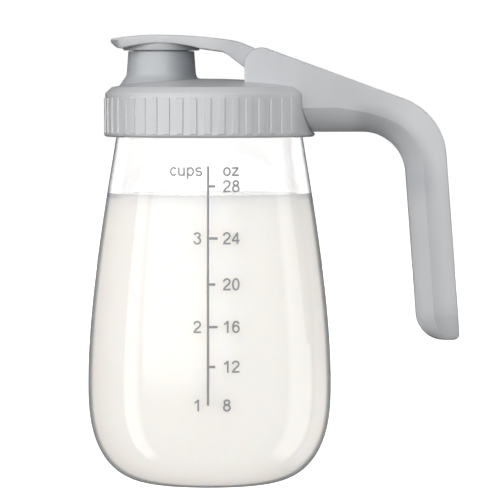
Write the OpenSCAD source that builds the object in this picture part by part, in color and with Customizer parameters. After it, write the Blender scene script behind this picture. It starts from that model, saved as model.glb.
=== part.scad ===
// Detergent dispenser bottle: a bellied glass jar with a screw-on pouring lid.
// The lid carries a spout with a hinged flip cap, and a downward side handle.
// Origin: on the jar's axis, at its base. +Z is up, +X points to the handle
// and -X to the spout. All sizes are in millimetres.

/* [Jar] */
// Height of the glass jar up to its rim
jar_h = 161.2; // [160.8:0.1:161.4]
// Radius of the flat foot that the jar stands on
foot_r = 19; // [18:0.1:26]
// Radius of the belly, the widest place of the jar
belly_r = 51.1; // [50:0.1:52]
// Height of the belly above the foot
belly_z = 42.1; // [40:0.1:48]
// Squareness of the curve from foot to belly, where 2 is a plain ellipse
foot_power = 2.58; // [2.2:0.01:2.8]
// Outer radius of the straight neck
neck_r = 39.2; // [38.8:0.1:39.4]
// Height at which the shoulder becomes the straight neck
neck_z = 145; // [142:0.1:145.4]
// Thickness of the glass wall
glass_t = 2.4; // [2:0.1:3]
// Thickness of the glass floor
floor_t = 4; // [3:0.1:6]

/* [Screw thread] */
// Rise of the thread in one turn
pitch = 5; // [4.8:0.1:5.4]
// Length of each thread, in turns
thread_turns = 1.25; // [0.75:0.25:1.25]
// How far the glass thread stands out of the neck
thread_h = 1.25; // [1:0.05:1.3]
// Height of the middle of the glass thread where it starts
thread_z = 149.6; // [149:0.1:150]
// Gap between a thread's crest and the wall it faces
thread_gap = 0.45; // [0.4:0.05:0.6]

/* [Lid] */
// Height of the skirt's lower edge above the foot
skirt_z = 145.6; // [145.4:0.1:146.2]
// Outer radius of the ribbed skirt at its lower edge
skirt_r = 44.3; // [44.2:0.1:44.8]
// Height of the edge of the domed top
dome_edge_z = 166.2; // [166:0.1:166.4]
// Radius of the edge of the domed top
dome_edge_r = 42; // [41.8:0.1:42.2]
// How far the middle of the top rises above its edge
dome_rise = 3.7; // [3.2:0.1:3.9]
// Thickness of the lid's top plate
plate_t = 2.6; // [2.4:0.1:2.8]
// Number of grip ribs in a full circle
rib_count = 48; // [40:2:56]
// Depth of the grooves between the ribs
rib_depth = 0.5; // [0.3:0.05:0.6]
// Angle each side of the handle that has no ribs, in degrees
rib_free = 37; // [34:1:44]
// Turn of the whole rib pattern about the jar's axis, in degrees
rib_turn = -0.35; // [-3.75:0.05:3.75]
// Thickness of the silicone gasket under the top plate
gasket_t = 2; // [1.8:0.1:2.2]

/* [Spout] */
// Distance from the jar's axis to the spout's axis
spout_x = -20.2; // [-20.6:0.1:-20]
// Outer radius of the spout at its mouth
spout_r = 13.85; // [13.8:0.05:14.2]
// Height of the spout's mouth
spout_z = 181.4; // [181.2:0.1:181.4]
// Radius of the pouring bore
spout_bore_r = 12; // [11.9:0.05:12.2]

/* [Flip cap] */
// Distance from the jar's axis to the hinge axis
hinge_x = 21.8; // [21.6:0.1:22]
// Height of the hinge axis
hinge_z = 175.7; // [175.5:0.1:175.9]
// Radius of the hinge pin
pin_r = 2; // [1.8:0.1:2.2]
// Radius of the cap's hinge knuckle
knuckle_r = 5.2; // [5:0.1:5.4]
// Width of the flip cap
cap_w = 33.2; // [32.6:0.1:33.4]
// Height of the top of the cap's crown
cap_top_z = 188.2; // [187.9:0.1:188.5]
// Radius of the cap's top between its crown and the hinge, seen from the side
cap_arch_r = 215; // [200:1:230]
// Radius of the cap's top between its crown and the pull tab
cap_tab_r = 110; // [100:1:120]
// Radius of the round cover that closes the spout
cover_r = 16; // [15.8:0.1:16.2]
// Height of the cover's lower face
cover_z = 181.7; // [181.7:0.05:181.8]

/* [Handle] */
// Width of the handle where it sits on the lid
root_w = 42.8; // [42.4:0.1:44]
// Width of the grip
grip_w = 25.2; // [24:0.1:27]
// Depth of the grip, from its inner to its outer side
grip_d = 17.2; // [16:0.1:18]
// Radius of the head around the hinge axis
head_r = 7.1; // [7:0.1:7.2]
// Fall of the handle's top edge, in degrees
arm_slope = 20; // [19:0.1:21]
// Height of the arm's underside
arm_under_z = 147.7; // [147.4:0.1:148]
// Furthest reach of the handle from the jar's axis
reach = 104.8; // [102:0.1:106]
// Height of the grip's lower end
grip_end_z = 60.5; // [50:0.1:70]
// Lean of the grip from the vertical, in degrees
grip_lean = 4.3; // [3:0.1:6]
// Bend radius of the handle's outer edge
bend_out_r = 27; // [24:0.5:29]
// Bend radius of the handle's inner edge
bend_in_r = 18.5; // [16:0.5:20]
// Radius of the soft rounding along the handle's inner side
soft_r = 11.5; // [10:0.1:12]
// Wall thickness of the hollow handle
wall = 2.4; // [2:0.1:2.6]
// Thickness of the handle's outer cover
strip_t = 2; // [1.6:0.1:2.4]

/* [Hidden] */

GLASS = [0.86, 0.90, 0.92, 0.45];
GREY = [0.72, 0.73, 0.74];
PALE = [0.79, 0.80, 0.81];
SILICONE = [0.93, 0.93, 0.92];
STEEL = [0.62, 0.63, 0.65];

$fn = 96;
eps = 0.01;             // overlap that keeps a cut from ending on a face
fit = 0.1;              // play between a part and the seat it drops into

// ---------- plain geometry ----------

function lerp(a, b, t) = a + (b - a) * t;

// Points of an arc about c, from angle a0 to a1, in n steps
function arc(c, r, a0, a1, n) =
    [for (i = [0:n]) let (a = lerp(a0, a1, i / n)) c + r * [cos(a), sin(a)]];

// Cubic curve through its first and last control point, without the first
function curve(p, n) =
    [for (i = [1:n]) let (t = i / n, s = 1 - t)
        s * s * s * p[0] + 3 * s * s * t * p[1] + 3 * s * t * t * p[2] + t * t * t * p[3]];

// Where the line through p along u meets the line through q along v
function meet(p, u, q, v) =
    let (d = q - p) p + u * (d.x * v.y - d.y * v.x) / (u.x * v.y - u.y * v.x);

function reversed(list) = [for (i = [len(list) - 1:-1:0]) list[i]];

// Faces of a closed skin over rings of m points each
function skin_faces(rings, m) = concat(
    [[for (j = [m - 1:-1:0]) j]],
    [for (i = [0:rings - 2], j = [0:m - 1]) let (k = (j + 1) % m)
        each [[i * m + j, i * m + k, (i + 1) * m + j],
              [i * m + k, (i + 1) * m + k, (i + 1) * m + j]]],
    [[for (j = [0:m - 1]) (rings - 1) * m + j]]);

module skin(rings) {
    points = [for (ring = rings) each ring];
    polyhedron(points = points, faces = skin_faces(len(rings), len(rings[0])));
}

// ---------- jar ----------

neck_wall = 2.6;                       // the neck is a little thicker than the wall
rim_r = neck_wall / 2;                 // round top of the rim
shoulder_lift = 33.3;                  // how far the belly's upright tangent carries
shoulder_drop = 27.2;                  // and the neck's slanting one
shoulder_slope = 0.164;                // slant of the shoulder where it meets the neck

function jar_side(r0, r1, r2, z0) = concat(
    [for (i = [0:20]) let (a = 4.5 * i)
        [r0 + (r1 - r0) * pow(sin(a), 2 / foot_power),
         z0 + (belly_z - z0) * (1 - pow(cos(a), 2 / foot_power))]],
    curve([[r1, belly_z], [r1, belly_z + shoulder_lift],
           [r2 + shoulder_slope * shoulder_drop, neck_z - shoulder_drop], [r2, neck_z]], 24));

module jar() {
    outside = jar_side(foot_r, belly_r, neck_r, 0);
    inside = jar_side(foot_r - 1, belly_r - glass_t, neck_r - neck_wall, floor_t);
    color(GLASS) union() {
        rotate_extrude(convexity = 4) polygon(concat(
            [[0, 0]], outside,
            arc([neck_r - rim_r, jar_h - rim_r], rim_r, 0, 180, 8),
            reversed(inside), [[0, floor_t]]));
        screw_thread(neck_r, thread_h, thread_z);
    }
}

// ---------- screw thread ----------

thread_root = 2.3;                     // width of a thread where it leaves the wall
thread_crest = 1.2;                    // and at its crest
thread_step = 10;                      // degrees of the helix in one piece
thread_sink = 0.8;                     // depth to which a thread is rooted in the wall
thread_fade = 30;                      // degrees in which each end rises out of the wall

// Right-hand thread on a wall of radius r that starts at +X. A negative h points inwards.
module screw_thread(r, h, z) {
    steps = round(360 * thread_turns / thread_step);
    side = sign(h);
    skin([for (i = [0:steps]) let (
            a = i * thread_step,
            rise = min(1, a / thread_fade, (steps * thread_step - a) / thread_fade),
            crest = r + lerp(-side * thread_sink / 2, h, rise),
            root = r - side * thread_sink,
            zc = z + pitch * a / 360)
        [for (p = [[root, -thread_root], [crest, -thread_crest],
                   [crest, thread_crest], [root, thread_root]])
            [p[0] * cos(a), p[0] * sin(a), zc + side * p[1] / 2]]]);
}

// ---------- lid ----------

lid_bore_r = neck_r + thread_h + thread_gap;
plate_z = jar_h + gasket_t;            // underside of the top plate, where the gasket bears
gasket_in_r = neck_r - neck_wall - 0.8;  // it reaches a little inside the jar's rim
seat_r = gasket_in_r - 0.4;            // the plate is hollowed out inside the gasket's seat
rib_low = skirt_z + 1.4;
rib_high = dome_edge_z - 4.2;
groove_share = 0.6;                    // part of the rib pitch that the groove takes
skirt_draft = 0.3;                     // the skirt is this much narrower at its top
bevel_drop = 2.3;                      // fall of the bevel between the top and the skirt
bevel_run = 2.9;                       // and its width
rim_round = 1.4;                       // rounding of the skirt's lower edge
bevel_r = skirt_r - skirt_draft - bevel_run;

function dome_z(r) = dome_edge_z + dome_rise * (1 - pow(r / dome_edge_r, 2));

// Half outline of the lid's outside, from the skirt's lower edge to the top's middle
function lid_outline() = concat(
    arc([skirt_r - rim_round, skirt_z + rim_round], rim_round, -90, 0, 4),
    [[bevel_r + bevel_run, dome_edge_z - bevel_drop]],
    [for (i = [0:12]) let (r = bevel_r * (1 - i / 12)) [r, dome_z(r)]]);

module lid_body() {
    rotate_extrude() polygon(concat([[0, skirt_z]], lid_outline()));
}

spout_flare = 5;                       // radius of the curve at the spout's foot
flare_turn = 35;                       // degrees by which that curve leans outwards
flare_run = 4.6;                       // length of the straight cone that follows it
spout_waist = 0.6;                     // the spout is this much wider at its waist
waist_h = 6.8;                         // height of the waist above the top's edge
lip_round = 0.4;                       // rounding of the mouth's outer edge

module spout_body() {
    waist = [spout_r + spout_waist, dome_edge_z + waist_h];
    flare = arc(waist + [spout_flare, 0], spout_flare, 180 + flare_turn, 180, 6);
    foot = flare[0] + flare_run * [sin(flare_turn), -cos(flare_turn)];
    translate([spout_x, 0, 0]) rotate_extrude() polygon(concat(
        [[0, plate_z], [foot.x, plate_z], foot], flare,
        arc([spout_r - lip_round, spout_z - lip_round], lip_round, 0, 90, 4), [[0, spout_z]]));
}

module rib_grooves() {
    step = 360 / rib_count;
    groove_w = groove_share * 2 * PI * skirt_r / rib_count;
    for (i = [0:rib_count - 1]) let (a = (i + 0.5) * step + rib_turn)
        if (a > rib_free && a < 360 - rib_free)
            rotate([0, 0, a]) translate([skirt_r - rib_depth, -groove_w / 2, rib_low])
                cube([2, groove_w, rib_high - rib_low]);
}

module lid() {
    color(GREY) union() {
        difference() {
            union() {
                lid_body();
                spout_body();
            }
            translate([0, 0, skirt_z - 1]) cylinder(r = lid_bore_r, h = plate_z - skirt_z + 1);
            rotate_extrude() polygon(concat([[0, plate_z - 1], [seat_r, plate_z - 1]],
                [for (i = [0:8]) let (r = seat_r * (1 - i / 8)) [r, dome_z(r) - plate_t]]));
            translate([spout_x, 0, plate_z - 1]) cylinder(r = spout_bore_r, h = spout_z - plate_z + 2);
            rib_grooves();
            screw_holes(screw_tip_x - eps);
        }
        screw_thread(lid_bore_r, -thread_h, thread_z - pitch / 2);
    }
}

module lid_gasket() {
    color(SILICONE) translate([0, 0, jar_h]) difference() {
        cylinder(r = lid_bore_r - 0.3, h = gasket_t);
        translate([0, 0, -1]) cylinder(r = gasket_in_r, h = gasket_t + 2);
    }
}

// ---------- handle ----------

pivot = [hinge_x, hinge_z];            // in the X-Z plane
head_front = hinge_x - head_r;
top_dir = [cos(arm_slope), -sin(arm_slope)];
grip_dir = [sin(grip_lean), -cos(grip_lean)];
top_tangent = pivot + head_r * [sin(arm_slope), cos(arm_slope)];
out_low = [reach, grip_end_z + 2];
in_low = out_low - [grip_d, 0];
out_knee = meet(top_tangent, top_dir, out_low, grip_dir);
in_knee = meet([0, arm_under_z], [1, 0], in_low, grip_dir);

// Arc of radius r that rounds the knee between two directions, as points
function knee_arc(knee, u, v, r, n) =
    let (turn = acos(u * v), c = knee - u * r * tan(turn / 2) + r * [u.y, -u.x])
    arc(c, r, atan2(-u.x, u.y) + 180, atan2(-u.x, u.y) + 180 - turn, n);

fan_x = 62;                            // the sections start to fan out here
fan_z = 125;                           // and are square to the grip from here down
end_r = 11;                            // rounding of the grip's lower inner corner
heel_r = 2.6;                          // rounding of its lower outer corner
taper_x = 34;                          // the handle narrows from here on
taper_run = 48;                        // over this length
end_taper = 2.6;                       // narrowing of each side towards the grip's end
end_round = 2.4;                       // and the rounding of its last corner
bend_steps = 14;
end_steps = 7;
edge_r = 0.8;                          // rounding along the outer edges

function top_z(x) = top_tangent.y - (x - top_tangent.x) * tan(arm_slope);
function grip_in(z) = in_low + grip_dir * (in_low.y - z) / cos(grip_lean);
function grip_out(z) = out_low + grip_dir * (out_low.y - z) / cos(grip_lean);

// Length of a polyline, and the point that lies d along it
function part_of(list, a, b) = [for (i = [a:b]) list[i]];
function rest(list) = part_of(list, 1, len(list) - 1);
function walk_length(p) = len(p) < 2 ? 0 : norm(p[1] - p[0]) + walk_length(rest(p));
function walk(p, d) = let (s = norm(p[1] - p[0]))
    (len(p) == 2 || d <= s) ? lerp(p[0], p[1], min(1, d / s)) : walk(rest(p), d - s);

bend_in = concat([[fan_x, arm_under_z]],
    knee_arc(in_knee, [1, 0], grip_dir, bend_in_r, 10),
    [grip_in(fan_z)]);
bend_out = concat([[fan_x, top_z(fan_x)]],
    knee_arc(out_knee, top_dir, grip_dir, bend_out_r, 10),
    [grip_out(fan_z + grip_d * tan(grip_lean))]);
end_c = [grip_in(grip_end_z + end_r).x + end_r, grip_end_z + end_r];
heel_c = [grip_out(grip_end_z + heel_r).x - heel_r, grip_end_z + heel_r];
end_in = arc(end_c, end_r, 180, 270, 12);
end_out = concat([grip_out(grip_end_z + end_r)], arc(heel_c, heel_r, 0, -90, 4));

function half_width(x) =
    let (t = min(1, max(0, (x - taper_x) / taper_run)), s = t * t * (3 - 2 * t))
    lerp(root_w, grip_w, s) / 2;
function end_width(t) = grip_w / 2 - end_taper * t - end_round * (1 - sqrt(1 - 0.98 * t * t));

// One section: its inner point, its outer point and its half width
arm_stations = [for (x = [head_front - 1:(fan_x - head_front + 1) / 12:fan_x - 1])
    [[x, arm_under_z], [x, top_z(x)], half_width(x)]];
bend_stations = [for (i = [0:bend_steps]) let (t = i / bend_steps,
        p = walk(bend_in, t * walk_length(bend_in)), q = walk(bend_out, t * walk_length(bend_out)))
    [p, q, half_width((p.x + q.x) / 2)]];
end_stations = [for (i = [0:end_steps]) let (t = i / end_steps)
    [walk(end_in, t * walk_length(end_in)), walk(end_out, t * walk_length(end_out)), end_width(t)]];
stations = concat(arm_stations, bend_stations, end_stations);

// Ring in space from a section's outline, given as [across, up] with up from the inner point
function place(s, outline) = let (u = (s[1] - s[0]) / norm(s[1] - s[0]))
    [for (p = outline) let (q = s[0] + u * p[1]) [q.x, p[0], q.y]];

// D-shaped outline with its walls drawn in by t, and its outer side by top
function d_outline(s, t, top, edge) =
    let (d = norm(s[1] - s[0]), w = s[2] - t,
         rb = min(soft_r, d - 1.5) - t, ra = min(soft_r - t, w - 0.5),
         side = concat(arc([w - edge, d - top - edge], edge, 90, 0, 2),
                       [for (i = [0:6]) let (a = 15 * i)
                           [w - ra + ra * cos(a), t + rb - rb * sin(a)]]))
    concat(side, reversed([for (p = side) [-p[0], p[1]]]));

function strip_outline(s, inset, low, high) =
    let (d = norm(s[1] - s[0]), w = s[2] - inset)
    [[w, d + high], [w, d - low], [-w, d - low], [-w, d + high]];

module handle_body() {
    skin([for (s = stations) place(s, d_outline(s, 0, 0, edge_r))]);
}

hollow_from = 5;                       // first section that is hollow
hollow_to = len(stations) - 4;         // last one
strip_inset = 1.6;                     // width of the shell's edge beside the cover

module handle_hollow() {
    skin([for (s = part_of(stations, hollow_from, hollow_to))
        place(s, d_outline(s, wall, strip_t / 2, 0.2))]);
}

module handle_seat(inset, high) {
    skin([for (s = part_of(stations, hollow_from, hollow_to + 1))
        place(s, strip_outline(s, inset, strip_t, high))]);
}

// The room around the lid that the handle's hollow leaves solid
module root_wall() {
    r = skirt_r + wall;
    rotate_extrude() polygon([
        [0, skirt_z - 2], [r, skirt_z - 2], [r, dome_edge_z + wall], [0, dome_edge_z + wall + 1]]);
}

slot_w = cap_w + 0.8;
slot_end = hinge_x + 8.9;              // back wall of the slot that the cap turns in
head_w = root_w + 18;                  // wider than the head, for the cuts through it
cheek_end = root_w / 2;
pin_skin = 2;                          // wall left over the pin's far end
pin_play = 0.05;                       // play of the cap on its pin

module handle_shell() {
    color(PALE) difference() {
        handle_body();
        difference() {
            handle_hollow();
            root_wall();
        }
        handle_seat(strip_inset, 1);
        lid_body();
        translate([0, -slot_w / 2, skirt_z]) cube([slot_end, slot_w, 60]);
        // the head's round front
        difference() {
            translate([head_front - 2, -head_w / 2, hinge_z])
                cube([top_tangent.x - head_front + 2, head_w, 20]);
            pin_hole(head_r, -head_w / 2 - 1, head_w / 2 + 1);
        }
        translate([head_front - 5, -head_w / 2, skirt_z]) cube([5, head_w, 40]);
        pin_hole(pin_r, pin_skin - cheek_end, cheek_end + 1);
        screw_holes(screw_tip_x);
    }
}

module handle_cover() {
    color(PALE) handle_seat(strip_inset + fit, 0);
}

// ---------- fasteners ----------

screw_r = 1.3;
screw_y = 9;
screw_z = 155;
screw_head_r = 2.6;
screw_head_h = 1.6;
cross_w = 0.8;                         // width of the cross in the screw's head
cross_l = 3.2;                         // and its length
screw_seat_x = skirt_r + wall;
screw_tip_x = lid_bore_r + 0.6;

// Pilot holes that start at x and run outwards
module screw_holes(x) {
    for (y = [-screw_y, screw_y]) translate([x, y, screw_z]) rotate([0, 90, 0]) {
        cylinder(r = screw_r, h = screw_seat_x - x + 1);
    }
}

module handle_screws() {
    color(STEEL) for (y = [-screw_y, screw_y]) translate([0, y, screw_z]) rotate([0, 90, 0]) {
        translate([0, 0, screw_tip_x]) cylinder(r = screw_r, h = screw_seat_x - screw_tip_x + 0.5);
        difference() {
            translate([0, 0, screw_seat_x]) cylinder(r = screw_head_r, h = screw_head_h);
            for (a = [0, 90]) rotate([0, 0, a])
                translate([-cross_w / 2, -cross_l / 2, screw_seat_x + screw_head_h / 2])
                    cube([cross_w, cross_l, 1]);
        }
    }
}

// A hole about the hinge axis, from y0 to y1
module pin_hole(r, y0, y1) {
    translate([hinge_x, y1, hinge_z]) rotate([90, 0, 0]) cylinder(r = r, h = y1 - y0);
}

module hinge_pin() {
    color(STEEL) pin_hole(pin_r, pin_skin + 0.2 - cheek_end, cheek_end - 0.3);
}

// ---------- flip cap ----------

cap_tip_x = spout_x - 21;              // the pull tab's end
cap_tip_r = 0.9;                       // rounding over the tab's end
cap_knee_x = hinge_x - 9.9;            // where the cap's top bends down to the hinge
cap_drop = 21.9;                       // fall of the top beyond that bend, in degrees
cap_rise = 37.1;                       // slope of the underside there, in degrees
cap_crown = 3.5;                       // thickness of the cap over the cover's middle
cap_elbow = [cap_knee_x - 4, cap_top_z - 8.35];
cap_shoulder = [cap_knee_x - 6, cap_top_z - 7.15];
cap_heel = [cap_tip_x + 2.5, cap_top_z - 5.4];
arch_from = spout_x - 16;              // the hollow over the spout cover starts here
arch_to = spout_x + 16.2;              // and ends here
cap_crown_x = spout_x - 1.4;
cap_arch = 60;                         // radius of the hollow over the spout cover
cap_corner_r = 8;                      // corners of the tab, seen from above

function cap_top(x) = let (r = x < cap_crown_x ? cap_tab_r : cap_arch_r)
    [x, cap_top_z - pow(x - cap_crown_x, 2) / (2 * r)];
function cap_low(x) = [x, cap_top_z - cap_crown - pow(x - spout_x, 2) / (2 * cap_arch)];

module cap_side() {
    up = [sin(cap_drop), cos(cap_drop)];
    low = [sin(cap_rise), cos(cap_rise)];
    polygon(concat(
        arc(cap_top(cap_tip_x + cap_tip_r) - [0, cap_tip_r], cap_tip_r, 200, 95, 5),
        [for (i = [1:16]) cap_top(lerp(cap_tip_x + cap_tip_r, cap_knee_x, i / 16))],
        [pivot + knuckle_r * up, pivot, pivot - knuckle_r * low, cap_elbow, cap_shoulder],
        [for (i = [0:12]) cap_low(lerp(arch_to, arch_from, i / 12))],
        [cap_heel]));
}

module cap_solid() {
    half = cap_w / 2;
    intersection() {
        union() {
            translate([0, half, 0]) rotate([90, 0, 0]) linear_extrude(cap_w) cap_side();
            pin_hole(knuckle_r, -half, half);
        }
        union() {
            translate([cap_tip_x + cap_corner_r, -half, 160]) cube([100, cap_w, 40]);
            translate([cap_tip_x - 1, -half + cap_corner_r, 160])
                cube([20, cap_w - 2 * cap_corner_r, 40]);
            for (y = [-1, 1])
                translate([cap_tip_x + cap_corner_r, y * (half - cap_corner_r), 160])
                    cylinder(r = cap_corner_r, h = 40);
        }
    }
}

cap_skin = 2.4;                        // thickness left over the hollows on its underside
cap_web = 1.8;                         // rib between the two hollows
cap_hollow = [spout_x + cover_r + 2, cap_knee_x - 3.7];

module cap_hollow_side() {
    polygon(concat([[cap_hollow[0], hinge_z]],
        [for (i = [0:4]) cap_top(lerp(cap_hollow[0], cap_hollow[1], i / 4)) - [0, cap_skin]],
        [[cap_hollow[1], hinge_z]]));
}

module flip_cap() {
    color(PALE) difference() {
        cap_solid();
        pin_hole(pin_r + pin_play, -cap_w, cap_w);
        for (y = [0, 1]) mirror([0, y, 0])
            translate([0, cap_w / 2 - cap_skin, 0]) rotate([90, 0, 0])
                linear_extrude(cap_w / 2 - cap_skin - cap_web / 2) cap_hollow_side();
    }
}

spigot_r = 8.6;                        // core of the stopper, under the cover
spigot_h = 5.2;
stopper_gap = 0.3;                     // play of the stopper in the bore
stopper_h = 7.2;
stopper_taper = 0.6;                   // and the slant of its lower edge

module spout_cover() {
    color(GREY) difference() {
        translate([spout_x, 0, cover_z]) {
            cylinder(r = cover_r, h = 5);
            translate([0, 0, -spigot_h]) cylinder(r = spigot_r, h = spigot_h + 1);
        }
        cap_solid();
    }
}

module spout_stopper() {
    r = spout_bore_r - stopper_gap;
    foot = r - stopper_taper;
    color(SILICONE) translate([spout_x, 0, cover_z]) rotate_extrude() polygon([
        [0, -stopper_h], [foot - 0.6, -stopper_h], [foot, 0.6 - stopper_h],
        [r, -0.8], [r, 0], [spigot_r, 0], [spigot_r, -spigot_h], [0, -spigot_h]]);
}

jar();
lid();
lid_gasket();
handle_shell();
handle_cover();
handle_screws();
hinge_pin();
flip_cap();
spout_cover();
spout_stopper();
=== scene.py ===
"""Detergent dispenser bottle: a glass jar with a pouring lid, a flip cap and a side handle.

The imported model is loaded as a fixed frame. Each operator then makes one piece, or one group
of like pieces, that rides on a body of that frame. Shapes are worked out in millimetres and
are brought to metres when a piece is finished. Shaders and lights work in metres.
"""

from functools import cache
from math import acos, atan2, ceil, cos, degrees, hypot, pi, radians, sin, sqrt, tan

import bmesh
import bpy
from mathutils import Matrix, Vector


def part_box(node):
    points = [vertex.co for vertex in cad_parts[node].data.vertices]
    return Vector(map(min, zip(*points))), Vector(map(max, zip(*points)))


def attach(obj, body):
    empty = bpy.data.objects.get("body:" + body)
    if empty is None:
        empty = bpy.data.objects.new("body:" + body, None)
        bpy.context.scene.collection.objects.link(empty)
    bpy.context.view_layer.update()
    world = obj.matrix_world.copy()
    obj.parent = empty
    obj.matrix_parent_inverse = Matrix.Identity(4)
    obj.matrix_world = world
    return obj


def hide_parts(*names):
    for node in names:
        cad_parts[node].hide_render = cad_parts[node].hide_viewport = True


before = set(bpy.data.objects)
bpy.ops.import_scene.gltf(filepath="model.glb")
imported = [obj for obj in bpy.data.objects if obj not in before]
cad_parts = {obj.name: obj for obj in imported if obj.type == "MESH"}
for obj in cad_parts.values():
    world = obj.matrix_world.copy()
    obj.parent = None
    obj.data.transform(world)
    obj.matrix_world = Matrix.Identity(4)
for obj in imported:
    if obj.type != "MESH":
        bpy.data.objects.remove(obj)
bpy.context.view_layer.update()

bl_info = {
    "name": "Detergent dispenser bottle",
    "version": (1, 0, 0),
    "blender": (4, 5, 0),
    "location": "View3D > Sidebar > Bottle",
    "description": "Builds a glass dispenser bottle with a pouring lid around its packed model",
    "category": "Object",
}

MM = 0.001

# Vertices closer than MERGE become one, and a vertex within NEAR of a place lies on it
MERGE = 0.001
NEAR = 0.01


# ---------- outlines ----------


def spaced(first, last, steps):
    """Evenly spaced values from first to last, both of them among these."""
    return [first + (last - first) * i / steps for i in range(steps + 1)]


def flat(x, y):
    """A point of an outline."""
    return Vector((x, y))


def arc(centre, radius, start, end, steps):
    """Points of an arc about centre, from the angle start to end, in degrees."""
    turns = [radians(a) for a in spaced(start, end, steps)]
    return [centre + radius * flat(cos(a), sin(a)) for a in turns]


def cubic(points, steps):
    """Points of the cubic curve with these four control points, without the first."""
    a, b, c, d = points
    path = []
    for t in spaced(0, 1, steps)[1:]:
        s = 1 - t
        path.append(a * s**3 + b * (3 * s * s * t) + c * (3 * s * t * t) + d * t**3)
    return path


def meeting(p, u, q, v):
    """Where the line through p along u meets the line through q along v."""
    d = q - p
    return p + u * ((d.x * v.y - d.y * v.x) / (u.x * v.y - u.y * v.x))


def rounded(a, corner, b, radius, steps=6):
    """The corner between a and b with a curve in its place."""
    p = corner + (a - corner).normalized() * radius
    q = corner + (b - corner).normalized() * radius
    return [p.lerp(corner, t).lerp(corner.lerp(q, t), t) for t in spaced(0, 1, steps)]


def mirrored(side):
    """A half outline that starts and ends on the upright axis, with its mirror image."""
    return side + [flat(-p.x, p.y) for p in side[-2:0:-1]]


def along(path, share):
    """The point at a share of a path's length."""
    distance = share * sum((b - a).length for a, b in zip(path, path[1:]))
    for a, b in zip(path, path[1:]):
        step = (b - a).length
        if distance <= step:
            return a.lerp(b, distance / step)
        distance -= step
    return path[-1].copy()


def cross_at(path, axis, value):
    """Where a path has this value on one axis, 0 or 1, its value on the other one.

    Beyond the path's ends that is the end's own.
    """
    other = 1 - axis
    for a, b in zip(path, path[1:]):
        if a[axis] <= value <= b[axis] and a[axis] < b[axis]:
            share = (value - a[axis]) / (b[axis] - a[axis])
            return a[other] + (b[other] - a[other]) * share
    return path[-1 if value > path[-1][axis] else 0][other]


def smoothstep(t):
    t = min(1.0, max(0.0, t))
    return t * t * (3 - 2 * t)


# ---------- mesh tools ----------


def verts_in(geometry):
    return [part for part in geometry if isinstance(part, bmesh.types.BMVert)]


def edges_in(geometry):
    return [part for part in geometry if isinstance(part, bmesh.types.BMEdge)]


def everything(bm):
    return bm.verts[:] + bm.edges[:] + bm.faces[:]


def wire(bm, points, closed=False):
    """Vertices and edges through points of the X-Z plane."""
    verts = [bm.verts.new((p.x, 0, p.y)) for p in points]
    ends = verts[1:] + verts[:1] if closed else verts[1:]
    return verts + [bm.edges.new(pair) for pair in zip(verts, ends)]


def lathe(bm, points, steps, centre=0.0, start=0.0):
    """Spins an outline of radius and height about the upright axis at x = centre."""
    geometry = wire(bm, points)
    verts = verts_in(geometry)
    bmesh.ops.rotate(bm, verts=verts, cent=(0, 0, 0), matrix=Matrix.Rotation(start, 3, "Z"))
    bmesh.ops.translate(bm, verts=verts, vec=(centre, 0, 0))
    bmesh.ops.spin(
        bm,
        geom=geometry,
        cent=(centre, 0, 0),
        axis=(0, 0, 1),
        angle=2 * pi,
        steps=steps,
        use_merge=True,
    )


def draw_out(bm, edges):
    """Extrudes edges, and returns the new vertices and the new edges between them."""
    made = bmesh.ops.extrude_edge_only(bm, edges=edges)["geom"]
    verts = set(verts_in(made))
    return verts, [e for e in edges_in(made) if set(e.verts) <= verts]


def loft(bm, rings):
    """Draws a first closed ring out through the others and closes both ends."""
    verts = [bm.verts.new(p) for p in rings[0]]
    first = [bm.edges.new(pair) for pair in zip(verts, verts[1:] + verts[:1])]
    edges = first
    for ring in rings[1:]:
        fresh, edges = draw_out(bm, edges)
        verts = [
            next(e.other_vert(v) for e in v.link_edges if e.other_vert(v) in fresh) for v in verts
        ]
        for v, p in zip(verts, ring):
            v.co = p
    for rim in (first, edges):
        bmesh.ops.contextual_create(bm, geom=rim)


def tidy(bm):
    bmesh.ops.remove_doubles(bm, verts=bm.verts, dist=MERGE)
    bmesh.ops.dissolve_degenerate(bm, edges=bm.edges, dist=MERGE / 2)
    bmesh.ops.recalc_face_normals(bm, faces=bm.faces)


def to_mesh(name, bm):
    mesh = bpy.data.meshes.new(name)
    bm.to_mesh(mesh)
    bm.free()
    return mesh


def carve(bm, cutters):
    """The solid bm with each cutter taken out of it."""
    tidy(bm)
    blank = bpy.data.objects.new("blank", to_mesh("blank", bm))
    tools = []
    for cutter in cutters:
        tidy(cutter)
        tool = bpy.data.objects.new("tool", to_mesh("tool", cutter))
        tools.append(tool)
        boolean = blank.modifiers.new("cut", "BOOLEAN")
        boolean.operation = "DIFFERENCE"
        boolean.solver = "EXACT"
        boolean.object = tool
    for item in [blank] + tools:
        bpy.context.scene.collection.objects.link(item)
    shaped = blank.evaluated_get(bpy.context.evaluated_depsgraph_get())
    result = bmesh.new()
    result.from_mesh(shaped.to_mesh())
    for item in [blank] + tools:
        bpy.data.objects.remove(item)
    if not result.faces:
        raise RuntimeError("a cut left nothing of the piece")
    return result


def box_solid(low, high):
    """A box between two corners."""
    bm = bmesh.new()
    bmesh.ops.create_cube(bm, size=1)
    low, high = Vector(low), Vector(high)
    bmesh.ops.scale(bm, verts=bm.verts, vec=high - low)
    bmesh.ops.translate(bm, verts=bm.verts, vec=(low + high) / 2)
    return bm


def rod_solid(radius, x, z, y0, y1):
    """A round rod parallel to Y."""
    bm = bmesh.new()
    bmesh.ops.create_cone(
        bm, cap_ends=True, segments=64, radius1=radius, radius2=radius, depth=y1 - y0
    )
    turn = Matrix.Translation((x, (y0 + y1) / 2, z)) @ Matrix.Rotation(pi / 2, 4, "X")
    bmesh.ops.transform(bm, matrix=turn, verts=bm.verts)
    return bm


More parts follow.
